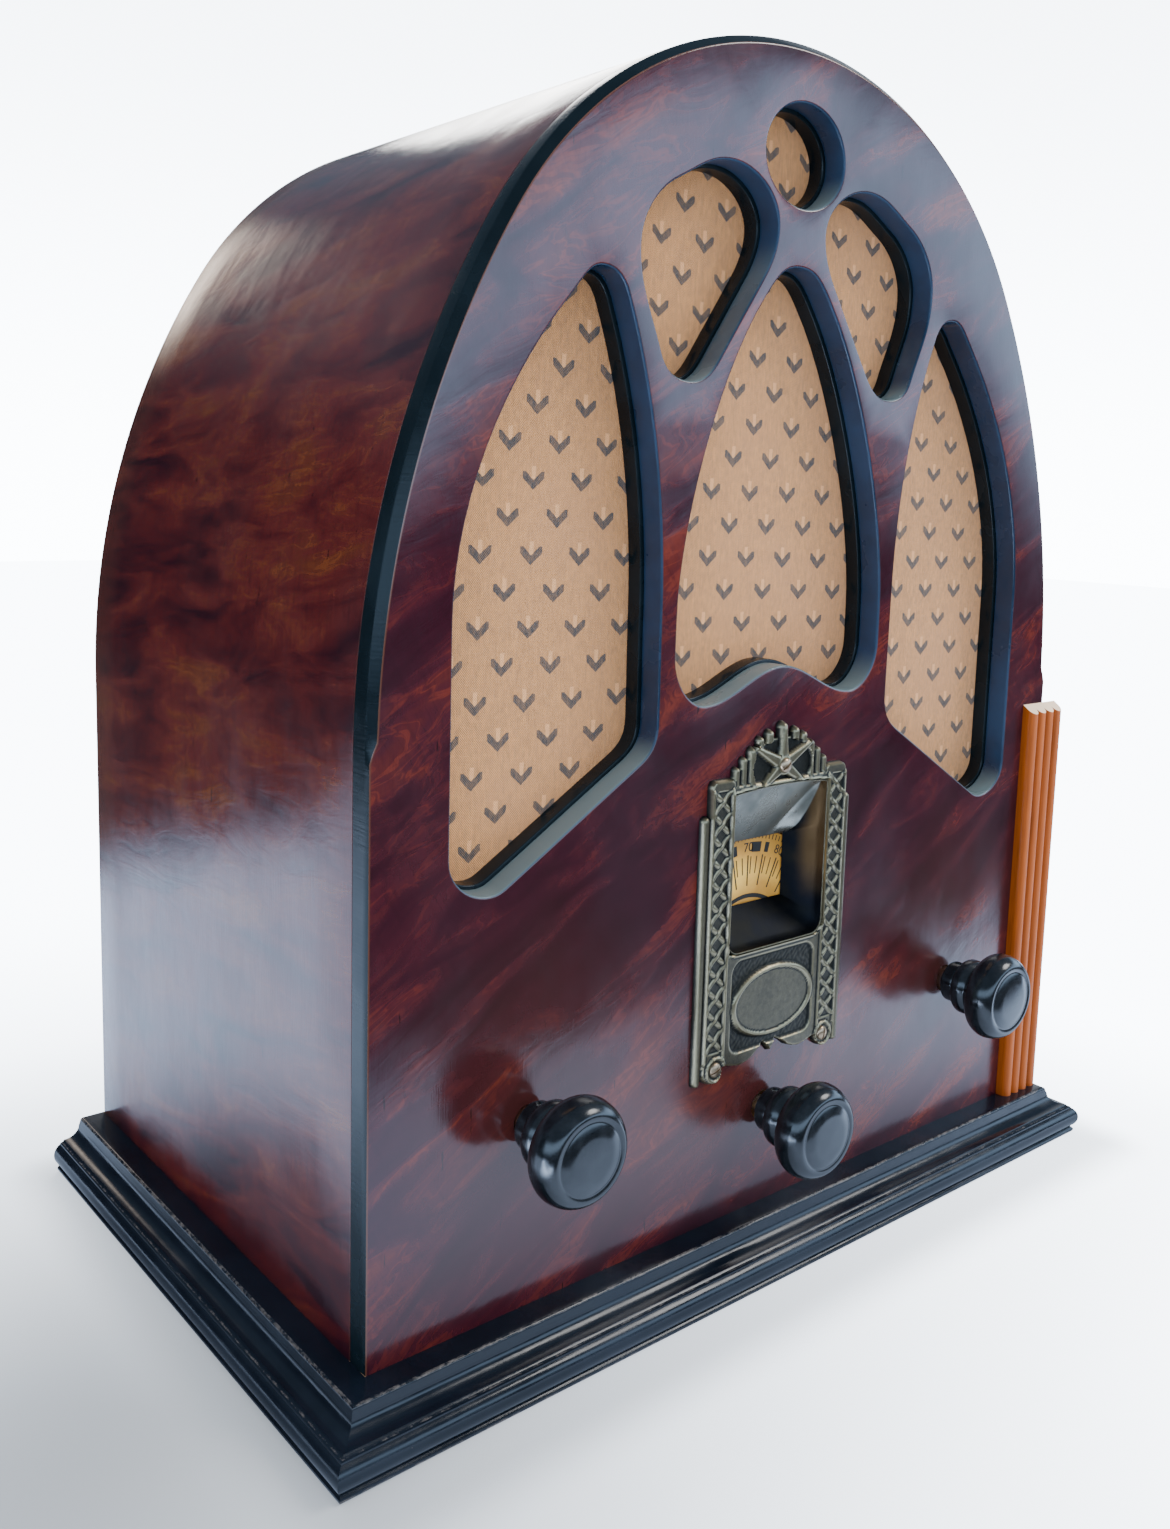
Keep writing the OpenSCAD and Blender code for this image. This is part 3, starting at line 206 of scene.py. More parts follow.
def inward(line, e, straight=None, low=None):
    """The arch drawn in by e, or by another amount along the straight sides."""
    straight = e if straight is None else straight
    points = []
    for x, z, nx, nz in line:
        share = blended((z - SPRING_H) / 7)
        d = straight + (e - straight) * share
        points.append((x - d * nx, z - d * nz))
    if low is not None:
        kept = [p for p in points if p[1] > low + 0.5]
        points = [(kept[0][0], low)] + kept + [(kept[-1][0], low)]
    return points


def inside(point, loop):
    """Whether a point is inside a closed outline."""
    x, z = point
    hit = False
    for i, (ax, az) in enumerate(loop):
        bx, bz = loop[i - 1]
        if (az > z) != (bz > z) and x < (bx - ax) * (z - az) / (bz - az) + ax:
            hit = not hit
    return hit


# Pieces


def linked(name, data):
    """A new object in the scene."""
    made = bpy.data.objects.new(name, data)
    bpy.context.scene.collection.objects.link(made)
    return made


def mesh_of(name, corners, faces):
    """A new mesh from its corners and faces."""
    mesh = bpy.data.meshes.new(name)
    mesh.from_pydata(corners, [], faces)
    return mesh


def face_outward(mesh):
    """Turns a closed mesh's faces outward and drops those without area."""
    work = bmesh.new()
    work.from_mesh(mesh)
    bmesh.ops.dissolve_degenerate(work, dist=1e-7, edges=work.edges)
    bmesh.ops.recalc_face_normals(work, faces=work.faces)
    work.to_mesh(mesh)
    work.free()


def grid_faces(rows, columns, closed=False):
    """Faces between rows of corners, each row joined end to end if closed."""
    faces = []
    for start in range(0, (rows - 1) * columns, columns):
        for k in range(columns if closed else columns - 1):
            j = (k + 1) % columns
            faces.append((start + k, start + j, start + columns + j, start + columns + k))
    return faces


class Form:
    """Gathers one piece's corners and faces, each face with the number of its finish."""

    def __init__(self):
        self.corners, self.faces, self.finish, self.wear = [], [], [], []

    def add(self, points, wear=0.0):
        start = len(self.corners)
        self.corners += [Vector(p) for p in points]
        self.wear += [wear] * len(points)
        return list(range(start, len(self.corners)))

    def loop(self, outline, y, wear=0.0):
        """Corners of an x, z outline at depth y."""
        return self.add([place(x, y, z) for x, z in outline], wear)

    def face(self, numbers, finish=0):
        numbers = tuple(dict.fromkeys(numbers))
        if len(numbers) > 2:
            self.faces.append(numbers)
            self.finish.append(finish)

    def strip(self, a, b, finish=0, closed=True):
        """Faces between two rows of corners."""
        n = len(a)
        for i in range(n if closed else n - 1):
            j = (i + 1) % n
            self.face((a[i], a[j], b[j], b[i]), finish)

    def strips(self, rows, finish=0, closed=True, ends=False):
        for a, b in zip(rows, rows[1:]):
            self.strip(a, b, finish, closed)
        if ends:
            self.face(rows[0], finish)
            self.face(list(reversed(rows[-1])), finish)

    def filled(self, outer, holes, finish=0):
        """Flat faces inside a row of corners, leaving out the rows of its holes."""
        rows = [outer] + holes
        flat = [[self.corners[i].xz for i in row] for row in rows]
        numbers = [i for row in rows for i in row]
        points = [p for loop in flat for p in loop]
        edges, start = [], 0
        for loop in flat:
            n = len(loop)
            edges += [(start + k, start + (k + 1) % n) for k in range(n)]
            start += n
        found = delaunay_2d_cdt(points, edges, [], 0, 1e-9)
        loops = [[tuple(p) for p in loop] for loop in flat]
        for tri in found[2]:
            middle = tuple(sum((found[0][k] for k in tri), Vector((0, 0))) / 3)
            if inside(middle, loops[0]) and not any(inside(middle, h) for h in loops[1:]):
                back = [found[3][k] for k in tri]
                if all(back):
                    self.face([numbers[k[0]] for k in back], finish)

    def lip(self, outline, reach, y, steps, wear=lambda k: 0.0):
        """Rows of corners that round a window's edge over, from depth y inward."""
        rows = [self.loop(grown(outline, reach), y)]
        for k in range(1, steps + 1):
            a = math.pi / 2 * k / steps
            edge = grown(outline, reach * (1 - math.sin(a)))
            rows.append(self.loop(edge, y + reach * (1 - math.cos(a)), wear(k)))
        return rows

    def piece(self, name, finishes, stands_for=(), slot=None, body="cabinet", angle=32):
        """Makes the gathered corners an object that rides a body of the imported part."""
        mesh = mesh_of(name, self.corners, self.faces)
        for material in finishes:
            mesh.materials.append(finish(material))
        mesh.polygons.foreach_set("material_index", self.finish)
        layer = mesh.attributes.new("wear", "FLOAT", "POINT")
        layer.data.foreach_set("value", self.wear)
        face_outward(mesh)
        mesh.shade_smooth()
        mesh.set_sharp_from_angle(angle=math.radians(angle))
        made = linked(name, mesh)
        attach(made, body)
        if stands_for:
            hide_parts(*stands_for)
        return made


def eased(points, reach, steps):
    """A profile with each inner corner rounded, by up to reach along both its sides."""
    soft = [points[0]]
    for a, b, c in zip(points, points[1:], points[2:]):
        la, lc = math.dist(a, b), math.dist(b, c)
        ra, rc = min(reach, la * 0.45) / la, min(reach, lc * 0.45) / lc
        p = [b[k] + (a[k] - b[k]) * ra for k in (0, 1)]
        q = [b[k] + (c[k] - b[k]) * rc for k in (0, 1)]
        for s in range(steps + 1):
            t = s / steps
            soft.append(
                tuple((1 - t) ** 2 * p[k] + 2 * t * (1 - t) * b[k] + t * t * q[k] for k in (0, 1))
            )
    return soft + [points[-1]]


def turned(form, x, z, profile, n, wear=None):
    """A turned shape on an axis along Y through x, z, from its radius and depth profile."""
    rows = []
    for r, y in profile:
        amount = wear(r) if wear else 0.0
        if r < 1e-6:
            rows.append(form.add([place(x, y, z)], amount) * n)
        else:
            rows.append(form.loop(ring(x, z, r, n), y, amount))
    form.strips(rows)


def cut_away(piece, cutter):
    """Cuts a form out of a piece and keeps the result as its mesh."""
    tool = mesh_of("cutter", cutter.corners, cutter.faces)
    face_outward(tool)
    holder = linked("cutter", tool)
    change = piece.modifiers.new("cut", "BOOLEAN")
    change.operation = "DIFFERENCE"
    change.solver = "EXACT"
    change.object = holder
    graph = bpy.context.evaluated_depsgraph_get()
    mesh = bpy.data.meshes.new_from_object(piece.evaluated_get(graph))
    piece.modifiers.remove(change)
    piece.data = mesh
    bpy.data.objects.remove(holder)
    bpy.data.meshes.remove(tool)
    mesh.set_sharp_from_angle(angle=math.radians(32))


# Finishes


def times(values, k):
    """A colour or a set of scales, each multiplied by k."""
    return tuple(v * k for v in values)


def paler(colour, k, more=0.0):
    """A colour times k and a little more, at most white."""
    return tuple(min(1, c * k + more) for c in colour)


def span_of(*steps):
    """The length of a step whose parts are wires."""
    total = steps[0] * steps[0]
    for step in steps[1:]:
        total = total + step * step
    return total.math("SQRT")


class Wire:
    """A value on a node socket, so that shader maths reads as arithmetic."""

    def __init__(self, tree, socket):
        self.tree, self.socket = tree, socket

    def math(self, operation, *others, first=None):
        node = self.tree.nodes.new("ShaderNodeMath")
        node.operation = operation
        values = [self, *others] if first is None else [first, self]
        for k, value in enumerate(values):
            if isinstance(value, Wire):
                self.tree.links.new(value.socket, node.inputs[k])
            else:
                node.inputs[k].default_value = value
        return Wire(self.tree, node.outputs[0])

    def __add__(self, other):
        return self.math("ADD", other)

    def __sub__(self, other):
        return self.math("SUBTRACT", other)

    def __rsub__(self, other):
        return self.math("SUBTRACT", first=other)

    def __mul__(self, other):
        return self.math("MULTIPLY", other)

    def __truediv__(self, other):
        return self.math("DIVIDE", other)

    def __abs__(self):
        return self.math("ABSOLUTE")

    def __lt__(self, other):
        return self.math("LESS_THAN", other)

    def __gt__(self, other):
        return self.math("GREATER_THAN", other)

    __radd__ = __add__
    __rmul__ = __mul__


class Finish:
    """One material: constants go on the shader's own sockets, and wires feed the rest."""

    def __init__(self, name, colour=(0.5, 0.5, 0.5), rough=0.5, **constants):
        self.material = bpy.data.materials.new(name)
        self.material.use_nodes = True
        self.tree = self.material.node_tree
        self.shader = self.tree.nodes["Principled BSDF"]
        self.shader.inputs["Base Color"].default_value = (*colour, 1)
        self.shader.inputs["Roughness"].default_value = rough
        for key, value in constants.items():
            self.shader.inputs[key.replace("_", " ")].default_value = value

    def node(self, kind, settings=None, sockets=None, out=0):
        node = self.tree.nodes.new(kind)
        for key, value in (settings or {}).items():
            if key == "stops":
                ramp = node.color_ramp.elements
                while len(ramp) < len(value):
                    ramp.new(0.5)
                for stop, (at, colour) in zip(ramp, value):
                    stop.position = at
                    stop.color = (*colour, 1)
            else:
                setattr(node, key, value)
        for key, value in (sockets or {}).items():
            self.put(node.inputs[key], value)
        return Wire(self.tree, node.outputs[out])

    def put(self, socket, value):
        if isinstance(value, Wire):
            self.tree.links.new(value.socket, socket)
        else:
            socket.default_value = value

    def feed(self, **wires):
        for key, value in wires.items():
            self.put(self.shader.inputs[key.replace("_", " ")], value)
        return self

    def vector(self, operation, a, b):
        return self.node("ShaderNodeVectorMath", {"operation": operation}, {0: a, 1: b})

    def spot(self, scale=(1, 1, 1), turn=(0, 0, 0), shift=(0, 0, 0)):
        """The place on the piece in millimetres, shifted, turned and then scaled."""
        here = self.node("ShaderNodeTexCoord", out="Object")
        here = self.vector("MULTIPLY", here, (1000, 1000, 1000))
        if any(shift):
            here = self.vector("SUBTRACT", here, shift)
        if any(turn):
            here = self.node(
                "ShaderNodeVectorRotate",
                {"rotation_type": "EULER_XYZ"},
                {"Vector": here, "Rotation": tuple(math.radians(a) for a in turn)},
            )
        return self.vector("MULTIPLY", here, scale)

    def parts(self, vector):
        """The x, y and z of a vector."""
        first = self.node("ShaderNodeSeparateXYZ", None, {0: vector})
        return [Wire(self.tree, s) for s in first.socket.node.outputs]

    def noise(self, where, scale=1.0, detail=3.0, rough=0.5, bend=0.0, out=0):
        values = {"Scale": scale, "Detail": detail, "Roughness": rough, "Distortion": bend}
        return self.node("ShaderNodeTexNoise", None, {"Vector": where, **values}, out)

    def grain(self, scale, detail=3.0, rough=0.5, **lay):
        """Noise over the piece, even for one scale or stretched by three."""
        if isinstance(scale, tuple):
            return self.noise(self.spot(scale, **lay), 1.0, detail, rough)
        return self.noise(self.spot(), scale, detail, rough)

    def pushed(self, where, by, scale, detail=2.0):
        """A place moved about by noise."""
        drift = self.noise(where, scale, detail, out=1)
        drift = self.vector("SUBTRACT", drift, (0.5, 0.5, 0.5))
        return self.vector("ADD", where, self.vector("MULTIPLY", drift, by))

    def span(self, value, low, high, to_low=0.0, to_high=1.0):
        """value taken from low..high to to_low..to_high and held there."""
        return self.node(
            "ShaderNodeMapRange",
            {"clamp": True, "interpolation_type": "SMOOTHSTEP"},
            {0: value, 1: low, 2: high, 3: to_low, 4: to_high},
        )

    def ramp(self, value, *stops):
        return self.node("ShaderNodeValToRGB", {"stops": stops}, {0: value})

    def mix(self, share, a, b):
        a, b = (v if isinstance(v, Wire) else (*v, 1) for v in (a, b))
        return self.node("ShaderNodeMix", {"data_type": "RGBA"}, {0: share, 6: a, 7: b}, 2)

    def bump(self, height, depth=0.1):
        """Relief of up to depth millimetres where height goes from 0 to 1."""
        return self.node("ShaderNodeBump", None, {"Height": height, "Distance": depth / 1000})

    def worn(self):
        """How far a place is rubbed, from 0 to 1."""
        return self.node("ShaderNodeAttribute", {"attribute_name": "wear"}, out="Fac")


def look():
    """The colours and pitches in the settings."""
    return bpy.context.scene.receiver_look


def veneer(name, turn, ground, flame, reach, seed):
    """Figured veneer under old lacquer; turn lays the figure and reach stretches it."""
    made = Finish(name, rough=0.14, Specular_IOR_Level=0.62)
    dark = look().veneer_dark
    here = made.spot(scale=reach, turn=turn, shift=seed)
    bent = made.pushed(here, (1.1, 0.9, 1.1), 0.8, 3.0)
    figure = made.noise(bent, 1.2, 7.0, 0.55, 0.6)
    wisp = made.noise(made.pushed(bent, (0.5, 0.5, 0.5), 2.2), 3.0, 4.0, 0.55, 1.2)
    ridge = made.span(abs(wisp - 0.5), 0.0, 0.06, 1.0, 0.0)
    cloud = made.grain((0.009, 0.009, 0.011), 3.0, 0.55, shift=seed)
    level = figure * 0.72 + cloud * 0.28
    colour = made.ramp(
        level,
        (0.36, dark),
        (0.47, ground),
        (0.55, tuple(b * 1.2 + f * 0.08 for b, f in zip(ground, flame))),
        (0.63, tuple(0.5 * b + 0.38 * f for b, f in zip(ground, flame))),
        (0.76, flame),
    )
    glint = ridge * made.span(level, 0.46, 0.64)
    colour = made.mix(glint * 0.5, colour, flame)
    streak = made.grain((0.5, 0.5, 0.05), 5.0, 0.65, turn=turn)
    colour = made.mix(made.span(streak, 0.42, 0.75, 0.0, 0.3), colour, dark)
    hair = made.grain((1.7, 1.7, 0.12), 3.0, 0.6)
    colour = made.mix(made.span(hair, 0.48, 0.75, 0.0, 0.18), colour, dark)
    fleck = made.span(made.grain((0.5, 0.5, 0.07), 2.0, 0.5, shift=seed), 0.72, 0.77)
    colour = made.mix(fleck * 0.8, colour, times(dark, 0.4))
    haze = made.grain((0.018, 0.018, 0.012), 5.0, 0.62, shift=seed)
    wave = made.grain((0.03, 0.03, 0.016))
    made.feed(
        Base_Color=made.mix(made.worn(), colour, look().veneer_worn),
        Roughness=made.span(haze, 0.3, 0.7, 0.1, 0.24) + hair * 0.05,
        Normal=made.bump(wave + hair * 0.06 + figure * 0.3, 0.42),
    )
    return made.material


def lacquer(name, colour, rough, gloss, dust=None):
    """Black lacquer on wood, rubbed through to brown on its edges, with a painted sheen on its
    sills and other upward faces.
    """
    made = Finish(name, rough=rough, Specular_IOR_Level=gloss)
    grain = made.grain((0.05, 0.05, 1.2), 4.0, 0.6)
    smear = made.grain((0.03, 0.03, 0.03), 4.0, 0.6)
    rub = made.grain((0.3, 0.3, 0.9), 4.0, 0.7)
    chip = made.span(made.grain(0.55, 3.0, 0.6), 0.74, 0.77)
    shade = made.mix(made.span(smear, 0.3, 0.75), colour, times(colour, 1.8))
    # the dust argument is the colour of a painted sheen, laid on faces that look upward as if they
    # reflect the sky
    if dust:
        up = made.parts(made.node("ShaderNodeNewGeometry", out="Normal"))[2]
        shade = made.mix(made.span(up + smear * 0.3, 0.35, 1.1), shade, dust)
    worn = made.span(made.worn() * 0.7 + rub, 1.1, 1.35, 0.0, 0.5)
    made.feed(
        Base_Color=made.mix(worn + chip * made.worn() * 0.7, shade, look().lacquer_worn),
        Roughness=made.span(smear, 0.3, 0.75, rough * 0.7, rough * 1.6) + worn * 0.3,
        Normal=made.bump(grain * 0.3 + smear * 0.8, 0.16),
    )
    return made.material


def timber(name, light, dark, stretch, rough=0.78, coat=0.0, shine=0.5):
    """Straight-grained wood; stretch is small along the grain."""
    made = Finish(
        name, rough=rough, Coat_Weight=coat, Coat_Roughness=0.2, Specular_IOR_Level=shine
    )
    dark = dark or times(light, 0.55)
    grain = made.noise(made.pushed(made.spot(stretch), (0.5, 0.5, 0.5), 0.6), 1.0, 6.0, 0.65)
    fine = made.grain(times(stretch, 4))
    colour = made.ramp(grain * 0.7 + fine * 0.3, (0.35, dark), (0.65, light))
    made.feed(
        Base_Color=made.mix(made.worn() * 0.8, colour, paler(light, 1.5, 0.08)),
        Roughness=made.span(fine, 0.3, 0.7, rough * 0.85, min(1, rough * 1.15)),
        Normal=made.bump(grain * 0.5 + fine * 0.5, 0.12),
    )
    return made.material


def woven_cloth(name):
    """Tan cloth with staggered dark chevrons, a light thread standing on each."""
    made = Finish(name, rough=0.88, Sheen_Weight=0.25, Sheen_Roughness=0.5)
    tan, dark, row, pitch = look().cloth, look().chevron, look().row, look().pitch
    here = made.spot(shift=(-120, 0, LEDGE + 130), turn=(0, -look().slant, 0))
    drift = made.pushed(here, (0.5, 0.5, 0.5), 0.9, 1.0)
    x, _, z = made.parts(made.pushed(drift, (1.6, 0, 1.2), 0.03, 1.0))
    z = (z - look().chevron_z) / row
    odd = z.math("FLOOR").math("FLOORED_MODULO", 2.0)
    x = (x - look().chevron_x) / pitch + odd * 0.5
    u = abs(x.math("FRACT") - 0.5) * pitch
    v = (z.math("FRACT") - 0.5) * row
    mark = (abs(v + 1.7 - u * 0.88) < 1.55) * (u < 4.2) * (v < 2.6)
    thread = (u < 0.8) * (v > -0.2) * (v < 4.2)
    fleck = made.grain((0.8, 0.8, 0.45), 4.0, 0.7)
    cloud = made.grain((0.018, 0.018, 0.014))
    ply = made.grain((2.6, 1, 0.22), 3.0, 0.6)
    level = fleck * 0.45 + ply * 0.35 + cloud * 0.2
    colour = made.ramp(level, (0.36, times(tan, 0.72)), (0.5, tan), (0.64, paler(tan, 1.28)))
    colour = made.mix(made.span(cloud, 0.45, 0.7, 0.0, 0.35), colour, look().cloth_rose)
    colour = made.mix(thread * 0.7, colour, paler(tan, 1.5, 0.08))
    ragged = made.span(fleck + ply * 0.4, 0.42, 0.9, 1.0, 0.78)
    colour = made.mix(mark * ragged, colour, dark)
    wx, _, wz = made.parts(made.pushed(made.spot(), (0.25, 0, 0.25), 0.5))
    weave = (wx * 9.0).math("SINE") * (wz * 7.5).math("SINE")
    made.feed(
        Base_Color=made.mix(made.span(weave, -1, 1, 0.0, 0.2), colour, dark),
        Normal=made.bump(weave * 0.5 + ply * 0.5 + mark * 0.5 + thread * 0.5, 0.28),
    )
    return made.material


def cast_metal(name, hollow, middle, bright):
    """Dull bronzed casting, darker in its hollows and rubbed bright on its high places."""
    made = Finish(name, rough=0.4, Metallic=0.9)
    grit, cloud = made.grain(0.55, 4.0, 0.7), made.grain(0.06)
    level = made.worn() * 0.72 + grit * 0.2 + cloud * 0.14
    made.feed(
        Base_Color=made.ramp(level, (0.22, hollow), (0.44, middle), (0.8, bright)),
        Roughness=made.span(level, 0.2, 0.9, 0.52, 0.3),
        Normal=made.bump(grit, 0.14),
    )
    return made.material


def funnel_metal(name):
    """The window's funnel: smoother and painted pale as if lit on its upper face, rougher and
    painted dark as shade on the others, with a painted reflection of the lit scale on its right
    wall.
    """
    made = Finish(name, rough=0.3, Metallic=0.9)
    x, _, z = made.parts(made.spot(shift=(0, 0, LEDGE + 136)))
    smear = made.grain(0.1, 2.0)
    shift = made.span(smear, 0.35, 0.7)
    # painted light: the upper face is painted pale as if lit, the other faces dark as if in shade
    upper = made.span(z - (abs(x) - 17.5).math("MAXIMUM", 0.0) * 3.3 + smear * 3, 0.5, 2.5)
    pale = made.mix(shift, (0.34, 0.33, 0.28), (0.2, 0.2, 0.17))
    funnel_shade = made.mix(shift, (0.004, 0.005, 0.008), (0.012, 0.012, 0.011))
    # painted reflection of the lit scale, a warm patch low on the right wall
    scale_reflection = made.span(x + smear * 2, 20.5, 23.5) * made.span(z + smear * 6, -24, -4)
    funnel_shade = made.mix(scale_reflection, funnel_shade, (0.08, 0.045, 0.018))
    made.feed(
        Base_Color=made.mix(upper, funnel_shade, pale),
        Roughness=made.span(smear, 0.3, 0.7, 0.44, 0.56) - upper * 0.2,
        Normal=made.bump(made.grain(0.8, 2.0), 0.03),
    )
    return made.material


def metal(name, colour, rough, scale, marks=0.12, stretch=(1, 1, 1), tint=None, depth=0.03):
    """Bare or plated metal with stains, fine scratches and an uneven polish."""
    made = Finish(name, rough=rough, Metallic=0.95)
    cloud = made.grain(scale * 0.2, 4.0, 0.6)
    scratch = made.grain(times(stretch, scale), 5.0, 0.7)
    stain = tint or times(colour, 0.55)
    made.feed(
        Base_Color=made.mix(made.span(cloud, 0.42, 0.75, 0.0, 0.7), colour, stain),
        Roughness=made.span(scratch * 0.6 + cloud * 0.4, 0.3, 0.7, rough - marks, rough + marks),
        Normal=made.bump(scratch, depth),
    )
    return made.material


def moulded(name, colour, rough, coat):
    """Moulded or stoved black and brown surfaces with a faint flow in their polish."""
    made = Finish(name, rough=rough, Coat_Weight=coat, Coat_Roughness=0.06)
    flow = made.noise(made.pushed(made.spot(), (3, 3, 3), 0.05), 0.14, 4.0, 0.6)
    dust = made.grain(1.4, 3.0, 0.7)
    rub = made.span(made.worn() * 0.8 + dust, 1.0, 1.25, 0.0, 0.5)
    shade = made.mix(made.span(flow, 0.35, 0.7), colour, paler(colour, 1.9, 0.004))
    made.feed(
        Base_Color=made.mix(rub, shade, (0.16, 0.13, 0.11)),
        Roughness=made.span(flow * 0.5 + dust * 0.5, 0.3, 0.7, rough * 0.8, rough * 1.35),
        Normal=made.bump(flow * 0.7 + dust * 0.15, 0.05),
    )
    return made.material


def fibre(name, colour, rough, scale, depth, stretch=(1, 1, 1)):
    """Paper, wound or woven stuff."""
    made = Finish(name, rough=rough)
    felt = made.grain(times(stretch, scale), 5.0, 0.75)
    level = felt * 0.6 + made.grain(0.05) * 0.4
    made.feed(
        Base_Color=made.ramp(level, (0.36, times(colour, 0.6)), (0.64, paler(colour, 1.45, 0.01))),
        Roughness=made.span(felt, 0.3, 0.7, rough * 0.85, min(1, rough * 1.1)),
        Normal=made.bump(felt, depth),
    )
    return made.material


def braided(name, light, dark):
    """Cotton braid round a lead."""
    made = Finish(name, rough=0.85, Sheen_Weight=0.2)
    x, y, z = made.parts(made.spot())
    plait = ((x + z) * 4.2).math("SINE") * ((z - x + y) * 4.2).math("SINE")
    plait = made.span(plait, -0.6, 0.6)
    made.feed(
        Base_Color=made.mix(plait, dark, light),
        Roughness=made.span(plait, 0, 1, 0.92, 0.75),
        Normal=made.bump(plait, 0.25),
    )
    return made.material


def clear_glass(name, tint, smoke):
    """Thin blown glass, clouded in streaks by smoke."""
    made = Finish(
        name, colour=tint, rough=0.03, IOR=1.45, Transmission_Weight=1.0, Coat_Weight=0.2
    )
    streak = made.grain((0.2, 0.2, 0.06), 4.0)
    made.feed(
        Base_Color=made.mix(made.span(streak, 0.5, 0.8, 0.0, smoke), tint, times(tint, 0.5)),
        Roughness=made.span(streak, 0.4, 0.8, 0.02, 0.1),
        Normal=made.bump(made.grain(0.05, 2.0), 0.3),
    )
    return made.material


def lit_celluloid(name, bright, plain):
    """Aged yellow celluloid with a lamp behind it, lit as far as the window shows it; its glow and
    its pool of light are painted.
    """
    made = Finish(name, rough=0.3, Emission_Strength=look().glow, Coat_Weight=0.4)
    # painted pool of lamp light: paler near a spot in the window and along the scale's mid radius,
    # darker as shade away from them
    x, _, z = made.parts(made.spot(shift=(-6, 0, LEDGE + 122)))
    away = (x * x + z * z * 1.4).math("SQRT").math("MINIMUM", 14.0)
    x, _, z = made.parts(made.spot(shift=(0, 0, LEDGE + DIAL_Z)))
    away = away * 0.7 + abs(span_of(x, z) - 31.0) * 0.8
    age = made.grain(0.12, 4.0, 0.6)
    level = made.span(away + age * 10, 4, 30)
    colour = made.ramp(level, (0.0, bright), (0.6, plain), (1.0, times(plain, 0.55)))
    made.feed(Base_Color=colour, Emission_Color=colour, Normal=made.bump(age, 0.05))
    return made.material


MADE = {}


def finish(name):
    """The named material, made once. Words in its row of FINISHES are colours in the settings."""
    if name not in MADE:
        maker, *values = FINISHES[name]
        values = [getattr(look(), v) if isinstance(v, str) else v for v in values]
        MADE[name] = maker(name, *values)
    return MADE[name]


# stretch of a grain that runs along one axis
ALONG_X, ALONG_Y, ALONG_Z = (0.02, 0.5, 0.5), (0.5, 0.02, 0.5), (0.5, 0.5, 0.02)
FINISHES = {
    "veneer_front": (
        veneer, (0, 30, 0), "veneer_front", "flame_front", (0.013, 0.03, 0.045), (40, 0, 12)
    ),
    "veneer_side": (
        veneer, (6, 0, 0), "veneer_side", "flame_side", (0.03, 0.015, 0.055), (15, 33, 61)
    ),
    "ebonised_wood": (lacquer, "lacquer", 0.17, 0.36),
    # window walls: the last colour is a painted sheen on their upward faces
    "window_black": (lacquer, "window_wall", 0.3, 0.4, (0.1, 0.14, 0.15)),
    "edge_black": (lacquer, "edge", 0.24, 0.22),
    "raw_board": (timber, "raw_wood", "raw_wood_dark", ALONG_X),
    "raw_side": (timber, "raw_wood", "raw_wood_dark", ALONG_Y),
    "pilaster_wood": (timber, "pilaster", None, ALONG_Z, 0.42, 0.02, 0.13),
    "pilaster_end": (timber, "pilaster_end", "pilaster_grain", ALONG_Y, 0.6),
    "grille_weave": (woven_cloth,),
    "antique_brass": (cast_metal, "cast_dark", "cast", "cast_bright"),
    "funnel_brass": (funnel_metal,),
    "screw_brass": (metal, "screw", 0.34, 0.6, 0.1),
    "bakelite": (moulded, "knob", 0.17, 0.04),
    "brown_bakelite": (moulded, (0.035, 0.014, 0.009), 0.3, 0.3),
    "turned_brass": (metal, (0.62, 0.44, 0.2), 0.3, 0.9, 0.1),
    "bright_steel": (metal, (0.56, 0.56, 0.55), 0.26, 0.8, 0.1),
    "chassis_steel": (
        metal, (0.4, 0.4, 0.39), 0.42, 0.3, 0.14, (1, 1, 1), (0.2, 0.17, 0.13)
    ),
    "core_iron": (metal, (0.1, 0.095, 0.09), 0.55, 2.2, 0.12, (0.05, 1, 0.05), None, 0.1),
    "black_enamel": (moulded, (0.012, 0.012, 0.013), 0.3, 0.3),
    "plate_aluminium": (metal, (0.7, 0.7, 0.69), 0.36, 0.6),
    "celluloid": (lit_celluloid, "scale_bright", "scale"),
    "lamp_glass": (clear_glass, (1, 0.93, 0.78), 0.2),
    "valve_glass": (clear_glass, (0.93, 0.95, 0.95), 0.6),
    "electrode_metal": (metal, (0.12, 0.12, 0.125), 0.5, 0.8),
    "wound_paper": (fibre, (0.34, 0.2, 0.09), 0.7, 0.9, 0.12, (0.2, 0.2, 2)),
    "cone_paper": (fibre, (0.07, 0.055, 0.045), 0.9, 1.2, 0.1),
    "surround_cloth": (fibre, (0.03, 0.027, 0.025), 0.9, 2.2, 0.1),
    "copper_wire": (metal, (0.6, 0.23, 0.1), 0.34, 3.0, 0.1, (0.1, 3, 0.1), None, 0.12),
    "braid": (braided, (0.34, 0.24, 0.13), (0.07, 0.05, 0.035)),
    "black_rubber": (moulded, (0.014, 0.013, 0.013), 0.6, 0.0),
    "scale_ink": (fibre, (0.012, 0.01, 0.008), 0.55, 2.0, 0.02),
}  # fmt: skip


# Settings


def colour_of(name, description, default):
    return FloatVectorProperty(
        name=name, description=description, subtype="COLOR", size=3, min=0, max=1, default=default
    )


def number(name, description, default, **more):
    return FloatProperty(name=name, description=description, default=default, **more)


def size_of(name, description, default):
    """A setting given here in millimetres."""
    return number(name, description, default / 1000, min=0, unit="LENGTH")


